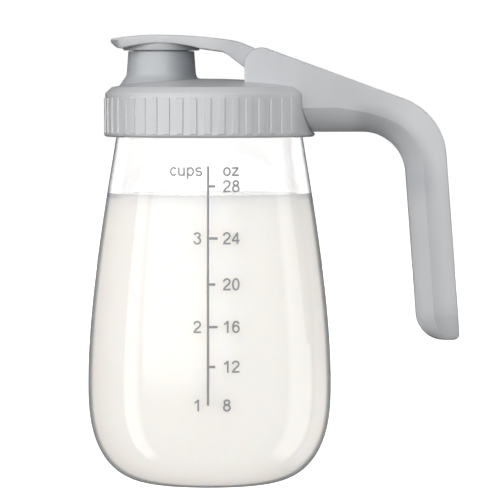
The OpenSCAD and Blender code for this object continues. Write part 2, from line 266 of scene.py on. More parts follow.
def make_piece(name, bm, body, slot, material, stands_for=(), sharp=32):
    """Turns a mesh in millimetres into a finished piece that rides on a body.

    Edges that turn by more than sharp, in degrees, stay sharp in the shading.
    """
    tidy(bm)
    bmesh.ops.scale(bm, vec=(MM, MM, MM), verts=bm.verts)
    mesh = to_mesh(name, bm)
    mesh.shade_smooth()
    mesh.set_sharp_from_angle(angle=radians(sharp))
    mesh.materials.append(material)
    piece = bpy.data.objects.new(name, mesh)
    bpy.context.scene.collection.objects.link(piece)
    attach(piece, body)
    if stands_for:
        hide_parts(*stands_for)
    return piece


# ---------- materials ----------

# Painted shade: the deeper, cooler share of a plastic's colour where pieces shade each other
SHADE_TINT = (0.37, 0.4, 0.425)
WARM_TINT = (0.93, 0.90, 0.88)
# Painted shade of the clear glass above the liquid, as a share of its colour
CLEAR_SHADE_TONE = 0.58
LID_GLOSS = 0.3
HANDLE_GLOSS = 0.34

# Where glass turns warm, then grey with painted shade, as it turns away: 0 facing, 1 outline
WARM_FACING = (0.1, 0.66)
CLEAR_SHADE_FACING = (0.38, 0.68)
OUTLINE_SHADE_FACING = (0.7, 0.8)
# The heights, in metres from the liquid's level, between which the clear glass's painted shade
# sets in
CLEAR_SHADE_FROM = (-0.0026, -0.0006)


def shade(colour, factor=1.0):
    """A colour with its alpha, made lighter or darker."""
    return tuple(min(1.0, c * factor) for c in colour[:3]) + (1.0,)


def tinted(colour, filter_colour):
    """A colour with its alpha, as it shows through a filter."""
    return shade([c * f for c, f in zip(colour, filter_colour)])


class Wire:
    """An output socket of a shader node. Sums and products on it add Math nodes."""

    def __init__(self, nodes, socket):
        self.nodes = nodes
        self.socket = socket

    def maths(self, operation, first, second):
        return self.nodes.node("ShaderNodeMath", {"operation": operation}, {0: first, 1: second})

    def __add__(self, other):
        return self.maths("ADD", self, other)

    def __sub__(self, other):
        return self.maths("SUBTRACT", self, other)

    def __rsub__(self, other):
        return self.maths("SUBTRACT", other, self)

    def __mul__(self, other):
        return self.maths("MULTIPLY", self, other)

    def at_least(self, low):
        return self.maths("MAXIMUM", self, low)

    __radd__ = __add__
    __rmul__ = __mul__


class Nodes:
    """A node tree in the making."""

    def __init__(self, tree):
        self.tree = tree

    def plug(self, socket, value):
        if isinstance(value, Wire):
            self.tree.links.new(value.socket, socket)
        else:
            socket.default_value = value

    def node(self, kind, settings=None, sockets=None, output=0):
        """Adds a node, sets its settings and then its sockets, and returns one output."""
        made = self.tree.nodes.new(kind)
        for key, value in (settings or {}).items():
            setattr(made, key, value)
        for key, value in (sockets or {}).items():
            self.plug(made.inputs[key], value)
        return Wire(self, made.outputs[output])

    def axis(self, place, letter):
        return self.node("ShaderNodeSeparateXYZ", sockets={0: place}, output=letter)

    def ease(self, value, low, high):
        """Rises softly from 0 to 1 while a value goes from low to high."""
        return self.node(
            "ShaderNodeMapRange",
            {"interpolation_type": "SMOOTHSTEP"},
            {"Value": value, "From Min": low, "From Max": high},
        )

    def vector(self, operation, first, second=(0.0, 0.0, 0.0)):
        output = "Value" if operation in ("DOT_PRODUCT", "LENGTH") else "Vector"
        kind = "ShaderNodeVectorMath"
        return self.node(kind, {"operation": operation}, {0: first, 1: second}, output)

    def mix(self, factor, first, second):
        """A colour between two others."""
        sockets = {0: factor, 6: first, 7: second}
        return self.node("ShaderNodeMix", {"data_type": "RGBA"}, sockets, output=2)


class Finish(Nodes):
    """A material in the making, around one surface shader. Its patterns lie on the object."""

    def __init__(self, name, **surface):
        self.material = bpy.data.materials.new(name)
        self.material.use_nodes = True
        super().__init__(self.material.node_tree)
        self.shader = self.tree.nodes["Principled BSDF"]
        self.place = self.node("ShaderNodeTexCoord", output="Object")
        self.set(**surface)

    def set(self, **surface):
        """Sets sockets of the surface shader, named with _ for each space."""
        for key, value in surface.items():
            self.plug(self.shader.inputs[key.replace("_", " ")], value)

    def fade(self, letter, limits):
        """Rises softly from 0 to 1 between two places on an axis of the object, in metres."""
        return self.ease(self.axis(self.place, letter), *limits)

    def noise(self, scale, detail, place=None):
        sockets = {"Vector": place or self.place, "Scale": scale, "Detail": detail}
        return self.node("ShaderNodeTexNoise", sockets=sockets)

    def mottled(self, pattern, colour, dark, light):
        """A colour that goes from a darker to a lighter tone with a pattern."""
        return self.mix(pattern, shade(colour, dark), shade(colour, light))

    def dress(self, tone, roughness, height, strength, distance):
        """Gives the surface its colour, gloss and relief, and returns the material."""
        relief = {"Height": height, "Strength": strength, "Distance": distance}
        bump = self.node("ShaderNodeBump", sockets=relief)
        self.set(Base_Color=tone, Roughness=roughness, Normal=bump)
        return self.material


def moulded_plastic(name, colour, gloss, painted_shade):
    """Satin moulded plastic: cloudy tint, fine tool grain and slightly uneven gloss.

    Painted shade: the last argument gives the share of a deeper tone where pieces shade each
    other.
    """
    finish = Finish(name, IOR=1.48, Specular_IOR_Level=0.5)
    cloud = finish.noise(45.0, 3.0)
    grain = finish.noise(2400.0, 2.0)
    tone = finish.mottled(cloud, colour, 0.97, 1.03)
    # Painted shade mixed into the colour
    tone = finish.mix(painted_shade(finish), tone, tinted(colour, SHADE_TINT))
    roughness = gloss + (cloud - 0.5) * 0.10 + (grain - 0.5) * 0.12
    return finish.dress(tone, roughness, grain * 0.6 + cloud * 0.4, 0.25, 0.00003)


def clear_glass(name, colour, edge=None, level=0.0):
    """Pressed glass, clear from the front.

    With a colour for its edge it is warmer to the side, and grey along its outline: partly the
    glass's own tint, mostly painted shade, the more so above the level of the liquid behind it.
    """
    finish = Finish(name, IOR=1.5, Transmission_Weight=1.0)
    ripple = finish.noise(22.0, 1.0)
    tone = finish.mottled(ripple, colour, 1.0, 0.995)
    if edge:
        facing = finish.node("ShaderNodeLayerWeight", sockets={"Blend": 0.5}, output="Facing")
        tone = finish.mix(finish.ease(facing, *WARM_FACING), tone, tinted(colour, WARM_TINT))
        over = finish.axis(finish.place, "Z") - level
        # Painted shade: the clear glass above the liquid greys towards its outline
        clear_shade = finish.ease(over, *CLEAR_SHADE_FROM) * finish.ease(facing, *CLEAR_SHADE_FACING)
        tone = finish.mix(clear_shade, tone, shade(colour, CLEAR_SHADE_TONE))
        # Painted shade along the outline itself, with a little of the glass's own tint
        tone = finish.mix(finish.ease(facing, *OUTLINE_SHADE_FACING), tone, shade(edge))
    return finish.dress(tone, ripple * 0.012, ripple, 0.04, 0.001)


def milky_liquid(name, colour):
    """Opaque liquid soap with a soft pearly cloud in it."""
    finish = Finish(name, IOR=1.34, Subsurface_Weight=1.0, Subsurface_Scale=0.012)
    finish.set(Subsurface_Radius=(1.0, 0.85, 0.7))
    tone = finish.mottled(finish.noise(14.0, 4.0), colour, 0.985, 1.01)
    swirl = finish.noise(60.0, 2.0)
    return finish.dress(tone, 0.05 + swirl * 0.05, swirl, 0.02, 0.00003)


def print_ink(name, colour):
    """Screen-printed ink, matt and slightly uneven."""
    finish = Finish(name)
    speckle = finish.noise(1800.0, 3.0)
    tone = finish.mottled(speckle, colour, 0.94, 1.06)
    return finish.dress(tone, 0.5 + speckle * 0.15, speckle, 0.2, 0.00001)


def silicone_rubber(name, colour):
    """Soft silicone with a dull bloom."""
    finish = Finish(name, IOR=1.41, Sheen_Weight=0.2)
    bloom = finish.noise(220.0, 4.0)
    tone = finish.mottled(bloom, colour, 0.94, 1.03)
    return finish.dress(tone, 0.52 + bloom * 0.14, bloom, 0.15, 0.00004)


def bright_steel(name, colour):
    """Drawn steel with fine marks along its length."""
    finish = Finish(name, Metallic=1.0)
    lengthwise = {"Vector": finish.place, "Scale": (4000.0, 300.0, 4000.0)}
    drawn = finish.noise(1.0, 2.0, finish.node("ShaderNodeMapping", sockets=lengthwise))
    tone = finish.mottled(drawn, colour, 0.88, 1.08)
    return finish.dress(tone, 0.24 + drawn * 0.16, drawn, 0.1, 0.00001)


# ---------- settings ----------


def length(name, description, default, low, high):
    return bpy.props.FloatProperty(
        name=name,
        description=description,
        default=default,
        min=low,
        max=high,
        subtype="DISTANCE",
        unit="LENGTH",
    )


def tint(name, description, default):
    return bpy.props.FloatVectorProperty(
        name=name,
        description=description,
        default=default,
        size=3,
        min=0.0,
        max=1.0,
        subtype="COLOR",
    )


def power(name, description, default):
    return bpy.props.FloatProperty(
        name=name, description=description, default=default, min=0.0, unit="POWER"
    )


class JarSettings(bpy.types.PropertyGroup):
    """Glass, liquid and printed scale."""

    wall: length("Wall", "Thickness of the glass wall", 0.0024, 0.001, 0.005)
    fill: length("Fill height", "Height of the liquid's surface", 0.1216, 0.02, 0.14)
    glass: tint("Glass", "Colour of the glass seen straight through", (0.995, 0.992, 0.988))
    # The glass edge colour is mostly painted shade along the outline, partly the glass's own tint
    edge: tint("Glass edge", "Colour of the glass seen along its wall", (0.25, 0.265, 0.28))
    liquid: tint("Liquid", "Colour of the detergent", (0.975, 0.925, 0.892))
    ink: tint("Ink", "Colour of the printed scale", (0.33, 0.33, 0.34))


class LidSettings(bpy.types.PropertyGroup):
    """Screw lid with its spout."""

    rib_count: bpy.props.IntProperty(
        name="Ribs", description="Grip ribs in a full circle", default=48, min=24, max=72
    )
    rib_depth: length("Rib height", "How far the grip ribs stand out", 0.0005, 0.0, 0.0008)
    colour: tint("Colour", "Colour of the lid's plastic", (0.645, 0.655, 0.67))


class HandleSettings(bpy.types.PropertyGroup):
    """Side handle."""

    seam: length("Seam", "Gap around the handle's outer cover", 0.0001, 0.0, 0.0005)
    colour: tint("Colour", "Colour of the handle's plastic", (0.61, 0.62, 0.635))


class CapSettings(bpy.types.PropertyGroup):
    """Flip cap, its disc and its stopper."""

    edge: length("Edge radius", "Rounding of the flip cap's edges", 0.0008, 0.0002, 0.0012)
    colour: tint("Colour", "Colour of the flip cap's plastic", (0.61, 0.62, 0.635))
    silicone: tint("Silicone", "Colour of the stopper and the gasket", (0.78, 0.78, 0.76))


class StageSettings(bpy.types.PropertyGroup):
    """Colour of the floor and power of the lights."""

    floor: tint("Floor", "Colour of the floor", (0.95, 0.95, 0.95))
    key: power("Key light", "Power of the soft light at the left", 43.0)
    front: power("Front light", "Power of the light that fades out at the front", 19.0)
    right: power("Right light", "Power of the soft light on the right", 18.0)
    rim: power("Rim light", "Power of the strip mirrored along the right outline", 5.5)
    back: power("Back light", "Power of the soft light behind the bottle", 34.0)
    streak: power("Streak light", "Power of the strip mirrored in the glass on the left", 15.0)


# ---------- jar ----------

FOOT_R = 19.0
FOOT_IN_R = FOOT_R - 1
BELLY_R = 51.02
BELLY_Z = 42.1
FOOT_POWER = 2.58
NECK_R = 39.2
NECK_Z = 145.0
SHOULDER_LIFT = 33.3
SHOULDER_DROP = 27.2
SHOULDER_RUN = 4.46
NECK_WALL = 2.6
RIM_R = NECK_WALL / 2
FLOOR_T = 4.0
FLOOR_RADII = (0.0, 9.0)
JAR_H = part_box("jar")[1].z / MM
JAR_STEPS = 160

# Height of the hollow under the jar, and its share left at each radius
PUNT = 0.7
PUNT_SHAPE = ((0, 1.0), (8, 0.8), (14, 0.25), (17, 0.0))

PITCH = 5.0
THREAD_TURNS = 1.25
THREAD_STEPS = 90
THREAD_H = 1.25
THREAD_Z = 149.6
THREAD_GAP = 0.45
THREAD_FADE = 30
THREAD_SINK = 0.3
THREAD_END = 0.2
# Half width of the thread at its foot, on its flank and at its crest
THREAD_HALF = (1.0, 0.55, 0.35)

# How far the liquid reaches into the glass, and its curl there: inwards and up
WET = 0.06
CURL_H = 0.2
CURL = ((0.4, 0.07), (1.0, 0.0), (2.6, 0.0))


def jar_side(foot, belly, neck, low):
    """Outline of a jar wall from its foot to its neck."""
    path = []
    for a in spaced(0, 90, 30):
        reach = sin(radians(a)) ** (2 / FOOT_POWER)
        rise = 1 - max(0.0, cos(radians(a))) ** (2 / FOOT_POWER)
        path.append(flat(foot + (belly - foot) * reach, low + (BELLY_Z - low) * rise))
    shoulder = [
        flat(belly, BELLY_Z),
        flat(belly, BELLY_Z + SHOULDER_LIFT),
        flat(neck + SHOULDER_RUN, NECK_Z - SHOULDER_DROP),
        flat(neck, NECK_Z),
    ]
    return path + cubic(shoulder, 40)


def jar_outside():
    return jar_side(FOOT_R, BELLY_R, NECK_R, 0.0)


def jar_inside(wall):
    return jar_side(FOOT_IN_R, BELLY_R - wall, NECK_R - NECK_WALL, FLOOR_T)


def screw_thread(bm, wall, rise, z):
    """A screw thread on a wall of radius wall. A negative rise points inwards."""
    side = 1 if rise > 0 else -1
    others = set(bm.verts)
    half = list(zip((-THREAD_SINK * side, rise * 0.8, rise), THREAD_HALF))
    section = [(r, -h) for r, h in half] + half[::-1]
    geometry = wire(bm, [flat(wall + r, z + h) for r, h in section], closed=True)
    rims = [edges_in(geometry)]
    made = bmesh.ops.spin(
        bm,
        geom=geometry,
        cent=(0, 0, 0),
        axis=(0, 0, 1),
        dvec=(0, 0, PITCH * THREAD_TURNS / THREAD_STEPS),
        angle=2 * pi * THREAD_TURNS,
        steps=THREAD_STEPS,
    )
    rims.append(edges_in(made["geom_last"]))
    for rim in rims:
        bmesh.ops.contextual_create(bm, geom=rim)
    for v in set(bm.verts) - others:
        turn = degrees(atan2(v.co.y, v.co.x)) % 360
        turn += 360 * round((v.co.z - z) / PITCH - turn / 360)
        near_end = min(turn, 360 * THREAD_TURNS - turn) / THREAD_FADE
        here = hypot(v.co.x, v.co.y)
        if (here - wall) * side > 0:
            there = wall - THREAD_END * side
            scale = (there + (here - there) * smoothstep(near_end)) / here
            v.co.x *= scale
            v.co.y *= scale


class BOTTLE_OT_jar(bpy.types.Operator):
    """Make the glass jar with its rounded rim and screw thread"""

    bl_idname = "bottle.jar"
    bl_label = "Glass jar"

    def execute(self, context):
        settings = context.scene.bottle_jar
        base = [flat(r, PUNT * share) for r, share in PUNT_SHAPE]
        rim = arc(flat(NECK_R - RIM_R, JAR_H - RIM_R), RIM_R, 0, 180, 14)
        inside = jar_inside(settings.wall / MM)[::-1]
        floor = [flat(r, FLOOR_T) for r in reversed(FLOOR_RADII)]
        bm = bmesh.new()
        lathe(bm, base + jar_outside() + rim + inside + floor, JAR_STEPS)
        tidy(bm)
        screw_thread(bm, NECK_R, THREAD_H, THREAD_Z)
        tidy(bm)
        for face in bm.faces:
            spot = face.calc_center_median()
            inwards = face.normal.dot(Vector((spot.x, spot.y, -0.1))) < 0
            face.material_index = int(inwards)
        glass = clear_glass("jar_glass", settings.glass, settings.edge, settings.fill)
        jar = make_piece("jar_glass", bm, "jar", "glass", glass, ("jar",))
        jar.data.materials.append(clear_glass("jar_glass_inside", settings.glass))
        return {"FINISHED"}


class BOTTLE_OT_liquid(bpy.types.Operator):
    """Make the detergent that fills the jar, with its raised edge at the glass"""

    bl_idname = "bottle.liquid"
    bl_label = "Detergent"

    def execute(self, context):
        settings = context.scene.bottle_jar
        wall = [p + flat(WET, 0) for p in jar_inside(settings.wall / MM)]
        top = settings.fill / MM
        floor = [flat(r, FLOOR_T - WET) for r in (*FLOOR_RADII, FOOT_IN_R)]
        side = [p for p in wall[1:] if p.y < top]
        curl = [flat(cross_at(wall, 1, top + CURL_H), top + CURL_H)]
        edge = cross_at(wall, 1, top)
        curl += [flat(edge - inwards, top + up) for inwards, up in CURL]
        bm = bmesh.new()
        lathe(bm, floor + side + curl + [flat(0, top)], JAR_STEPS)
        milk = milky_liquid("detergent", settings.liquid)
        make_piece("detergent_fill", bm, "jar", "detergent", milk)
        return {"FINISHED"}


# Height of each mark of the scale, its fluid ounces and its cups
SCALE = (
    (36.6, "8", "1"),
    (52.4, "12", ""),
    (68.6, "16", "2"),
    (85.9, "20", ""),
    (104.6, "24", "3"),
    (125.8, "28", ""),
)
LINE_X = -0.12
LINE_W = 0.95
LINE_LOW = SCALE[0][0]
LINE_TOP = 134.0
TICK_T = 1.0
TICK_END = 2.85
CUP_TICK_END = 3.8
OUNCE_X = 6.0
CUP_X = -2.9
CUPS_X = -2.6
WORDS_Z = 130.05
DIGIT_H = 4.75
INK_T = 0.04
INK_GAP = 0.01
# Planes that cut the print into patches small enough to lie on the round glass
CUT_X = range(-16, 14)
CUT_Z = spaced(36, 133.5, 65)

# Letters in thousandths of the letter size: advance width, then strokes through points.
# Each stroke of a letter lies a little further out than the one before.
EM = 6.7
STROKE = 108
STROKE_LIFT = 0.006
BEARING_LEFT = 35
BEARING_RIGHT = 45


def oval(x, y, rx, ry, start=0, end=360):
    """Points of an oval stroke about (x, y), from the angle start to end."""
    steps = max(4, abs(end - start) // 15)
    turns = [radians(a) for a in spaced(start, end, steps)]
    return [(x + rx * cos(a), y + ry * sin(a)) for a in turns]


TWO_HOOK = oval(268, 510, 188, 172, 178, 0)
TWO_NECK = [(430, 430), (360, 345), (250, 250), (160, 170), (95, 80), (85, 30)]
U_STEM = [(107, 519), (107, 350), (107, 190)]
GLYPHS = {
    "0": (556, [oval(275, 353, 188, 330)]),
    "1": (556, [[(329, 0), (329, 719)], [(112, 515), (185, 555), (265, 620), (322, 700)]]),
    "2": (556, [TWO_HOOK + TWO_NECK, [(45, 43), (503, 43)]]),
    "3": (556, [oval(258, 545, 165, 137, 175, -90), oval(265, 218, 192, 190, 90, -175)]),
    "4": (556, [[(372, 0), (372, 716)], [(372, 690), (50, 205)], [(30, 212), (508, 212)]]),
    "6": (556, [oval(282, 235, 185, 205), oval(292, 350, 205, 332, 35, 200)]),
    "8": (556, [oval(276, 540, 155, 142), oval(276, 208, 190, 180)]),
    "c": (500, [oval(270, 260, 188, 230, 38, 322)]),
    "u": (556, [[(447, 0), (447, 519)], U_STEM + oval(270, 185, 165, 152, 190, 355)]),
    "p": (556, [[(110, -199), (110, 519)], oval(290, 260, 182, 228)]),
    "s": (500, [oval(248, 372, 165, 112, 25, 250) + oval(250, 150, 175, 120, 70, -160)]),
    "o": (556, [oval(277, 260, 192, 230)]),
    "z": (500, [[(45, 480), (440, 480)], [(425, 480), (65, 40)], [(30, 40), (478, 40)]]),
}


def stroke(bm, path, width, lift):
    """A flat stroke along a path, which may be closed, lifted a little off the X-Z plane."""
    points = [flat(*p) for p in path]
    closed = (points[0] - points[-1]).length < 0.1
    rails = []
    for i, p in enumerate(points):
        before = points[i - 1] if i else (points[-2] if closed else p)
        after = points[i + 1] if i + 1 < len(points) else (points[1] if closed else p)
        ahead = (after - before).normalized()
        across = flat(-ahead.y, ahead.x) * (width / 2)
        rails.append([bm.verts.new((q.x, -lift, q.y)) for q in (p - across, p + across)])
    for (a, b), (c, d) in zip(rails, rails[1:]):
        bm.faces.new((a, b, d, c))


def write(bm, words, x, z, side):
    """Puts words on the X-Z plane: side -1 ends them at x and side 1 starts them there."""
    wide = sum(GLYPHS[letter][0] for letter in words)
    scale = EM / 1000
    place = x - (BEARING_LEFT if side > 0 else wide - BEARING_RIGHT) * scale
    for letter in words:
        advance, strokes = GLYPHS[letter]
        for i, path in enumerate(strokes):
            points = [(place + px * scale, z + pz * scale) for px, pz in path]
            stroke(bm, points, STROKE * scale, i * STROKE_LIFT)
        place += advance * scale


def bar(bm, x0, x1, z0, z1):
    """A flat printed bar."""
    made = bmesh.ops.create_grid(bm, x_segments=1, y_segments=1, size=0.5)["verts"]
    for v in made:
        v.co = Vector((x0 + (v.co.x + 0.5) * (x1 - x0), 0, z0 + (v.co.y + 0.5) * (z1 - z0)))


class BOTTLE_OT_scale(bpy.types.Operator):
    """Print the scale of cups and fluid ounces on the front of the jar"""

    bl_idname = "bottle.scale"
    bl_label = "Printed scale"

    def execute(self, context):
        settings = context.scene.bottle_jar
        bm = bmesh.new()
        line_edge = LINE_X + LINE_W / 2
        bar(bm, LINE_X - LINE_W / 2, line_edge, LINE_LOW, LINE_TOP)
        for height, ounces, cups in SCALE:
            low = height - DIGIT_H / 2
            write(bm, ounces, OUNCE_X, low, 1)
            write(bm, cups, CUP_X, low, -1)
            if height > LINE_LOW:
                end = CUP_TICK_END if cups else TICK_END
                bar(bm, line_edge, end, height - TICK_T / 2, height + TICK_T / 2)
        write(bm, "cups", CUPS_X, WORDS_Z, -1)
        write(bm, "oz", OUNCE_X, WORDS_Z, 1)
        planes = [((x, 0, 0), (1, 0, 0)) for x in CUT_X]
        planes += [((0, 0, z), (0, 0, 1)) for z in CUT_Z]
        for spot, normal in planes:
            bmesh.ops.bisect_plane(bm, geom=everything(bm), plane_co=spot, plane_no=normal)
        bmesh.ops.remove_doubles(bm, verts=bm.verts, dist=MERGE)
        made = bmesh.ops.extrude_face_region(bm, geom=bm.faces[:], use_keep_orig=True)["geom"]
        for v in verts_in(made):
            v.co.y -= INK_T
        outside = jar_outside()
        for v in bm.verts:
            reach = cross_at(outside, 1, v.co.z) + INK_GAP - v.co.y
            turn = v.co.x / reach
            v.co = Vector((reach * sin(turn), -reach * cos(turn), v.co.z))
        ink = print_ink("scale_ink", settings.ink)
        make_piece("jar_scale", bm, "jar", "print", ink)
        return {"FINISHED"}


# ---------- lid ----------

SKIRT_Z = 145.6
SKIRT_R = 44.3
DOME_EDGE_Z = 166.2
DOME_EDGE_R = 42.0
DOME_RISE = 3.7
DOME_JOIN_R = 40.0
DOME_JOIN_STEP = 0.35
PLATE_T = 2.6
PLATE_Z = 163.2
BEVEL_DROP = 2.3
BEVEL_RUN = 2.9
BEVEL_FOOT_R = 0.7
BEVEL_CREST_R = 0.3
RIM_ROUND = 1.4
RIM_CHAMFER = 0.5
LID_BORE_R = NECK_R + THREAD_H + THREAD_GAP
SEAT_IN_R = NECK_R - NECK_WALL - 1.2

RIB_DEPTH = 0.5
RIB_LOW = SKIRT_Z + 1.4
RIB_END = 0.25
RIB_HIGH = DOME_EDGE_Z - 4.2
RIB_CLOSE = 0.1
RIB_FREE = 37
RIB_TURN = -0.35
RIB_PARTS = 8
# How far round a rib's top edge and its foot lie from its middle, in degrees
RIB_SIDES = (0.0, 1.55, 1.85)

SPOUT_X = -20.2
SPOUT_R = 13.85
SPOUT_Z = 181.4
SPOUT_BORE_R = 12.0
BORE_SPLIT_Z = SPOUT_Z - 6
LIP_IN_R = 0.5
LIP_OUT_R = 0.25
SPOUT_WAIST = 0.6
WAIST_Z = DOME_EDGE_Z + 6.8
SPOUT_FLARE = 5.0
FLARE_TURN = radians(35)
FLARE_RUN = 5.5
FOOT_SOFT_R = (15.0, 18.9)
FOOT_SOFT_H = 0.9
FOOT_SOFT_ROUNDS = 3
# Painted shade on the spout: its reach about the spout's axis, and its rise along X
SPOUT_SHADE_R = (0.0185, 0.0175)
SPOUT_SHADE_X = (-0.019, -0.009)


def dome_z(x, y=0.0):
    """Height of the lid's domed top."""
    return DOME_EDGE_Z + DOME_RISE * (1 - (x * x + y * y) / DOME_EDGE_R**2)


def plate_z(x, y=0.0):
    """Height of the underside of the lid's top."""
    return dome_z(x, y) - PLATE_T


def lid_shoulder(play=0.0):
    """Outline of the lid from its lower edge up over the bevelled shoulder."""
    skirt = SKIRT_R + play
    wall = skirt - RIB_DEPTH
    low = arc(flat(skirt - RIM_ROUND, SKIRT_Z + RIM_ROUND), RIM_ROUND, -90, 0, 6)
    foot = flat(wall, DOME_EDGE_Z - BEVEL_DROP + play)
    crest = flat(wall - BEVEL_RUN, dome_z(wall - BEVEL_RUN) + play)
    inside = flat(wall - BEVEL_RUN - 1, dome_z(wall - BEVEL_RUN - 1) + play)
    high = rounded(flat(wall, foot.y - 1), foot, crest, BEVEL_FOOT_R, 5)
    return low, high + rounded(foot, crest, inside, BEVEL_CREST_R, 3)


def lid_solid(play):
    """The whole volume of the lid's outside, to cut other pieces clear of it."""
    low, high = lid_shoulder(play)
    dome = [flat(r, dome_z(r) + play) for r in (39, *range(35, -1, -5))]
    bm = bmesh.new()
    lathe(bm, [flat(0, SKIRT_Z)] + low + high + dome, CUTTER_STEPS)
    return bm


def from_spout(co):
    """How far a point lies from the spout's axis."""
    return hypot(co.x - SPOUT_X, co.y)


def flare_point(distance):
    """A point of the spout's flared foot, this far below its waist."""
    turn = min(distance / SPOUT_FLARE, FLARE_TURN)
    point = flat(SPOUT_R + SPOUT_WAIST, WAIST_Z) + flat(1 - cos(turn), -sin(turn)) * SPOUT_FLARE
    straight = max(0.0, distance - SPOUT_FLARE * FLARE_TURN)
    return point + straight * flat(sin(turn), -cos(turn))


def spout_point(reach, turn, z):
    return Vector((SPOUT_X + reach * cos(turn), reach * sin(turn), z))


@cache
def flare_end(turn):
    """How far down the flare meets the dome at this turn about the spout."""
    low, high = 0.0, SPOUT_FLARE + FLARE_RUN
    for _ in range(30):
        middle = (low + high) / 2
        p = flare_point(middle)
        q = spout_point(p.x, turn, p.y)
        if q.z > dome_z(q.x, q.y):
            low = middle
        else:
            high = middle
    return low


def open_loop(bm, test):
    """Boundary edges whose vertices pass a test."""
    return [e for e in bm.edges if e.is_boundary and all(test(v.co) for v in e.verts)]


def join_rings(bm, first, second, cuts, height):
    """Bridges two rings of a plate and lays the new vertices on its surface."""
    made = bmesh.ops.bridge_loops(bm, edges=first + second)
    across = [e for e in made["edges"] if e.is_valid]
    split = bmesh.ops.subdivide_edges(bm, edges=across, cuts=cuts, use_grid_fill=True)
    for v in verts_in(split["geom_inner"]):
        v.co.z = height(v.co.x, v.co.y)


def raise_ribs(bm, count, depth):
    """Draws the grip ribs out of the skirt."""
    part = 360 / (count * RIB_PARTS)
    for v in bm.verts:
        reach = hypot(v.co.x, v.co.y)
        if not RIB_LOW + NEAR < v.co.z < RIB_HIGH - NEAR or reach < SKIRT_R - 1:
            continue
        turn = degrees(atan2(v.co.y, v.co.x)) - RIB_TURN
        rib = round(turn * count / 360)
        offset = round((turn - rib * 360 / count) / part)
        centre = (rib * 360 / count + RIB_TURN) % 360
        if abs(offset) >= len(RIB_SIDES) or not RIB_FREE < centre < 360 - RIB_FREE:
            continue
        side = 1 if offset > 0 else -1
        spread = radians(centre + side * RIB_SIDES[abs(offset)])
        if abs(offset) < 2:
            reach += depth
        v.co.x = reach * cos(spread)
        v.co.y = reach * sin(spread)


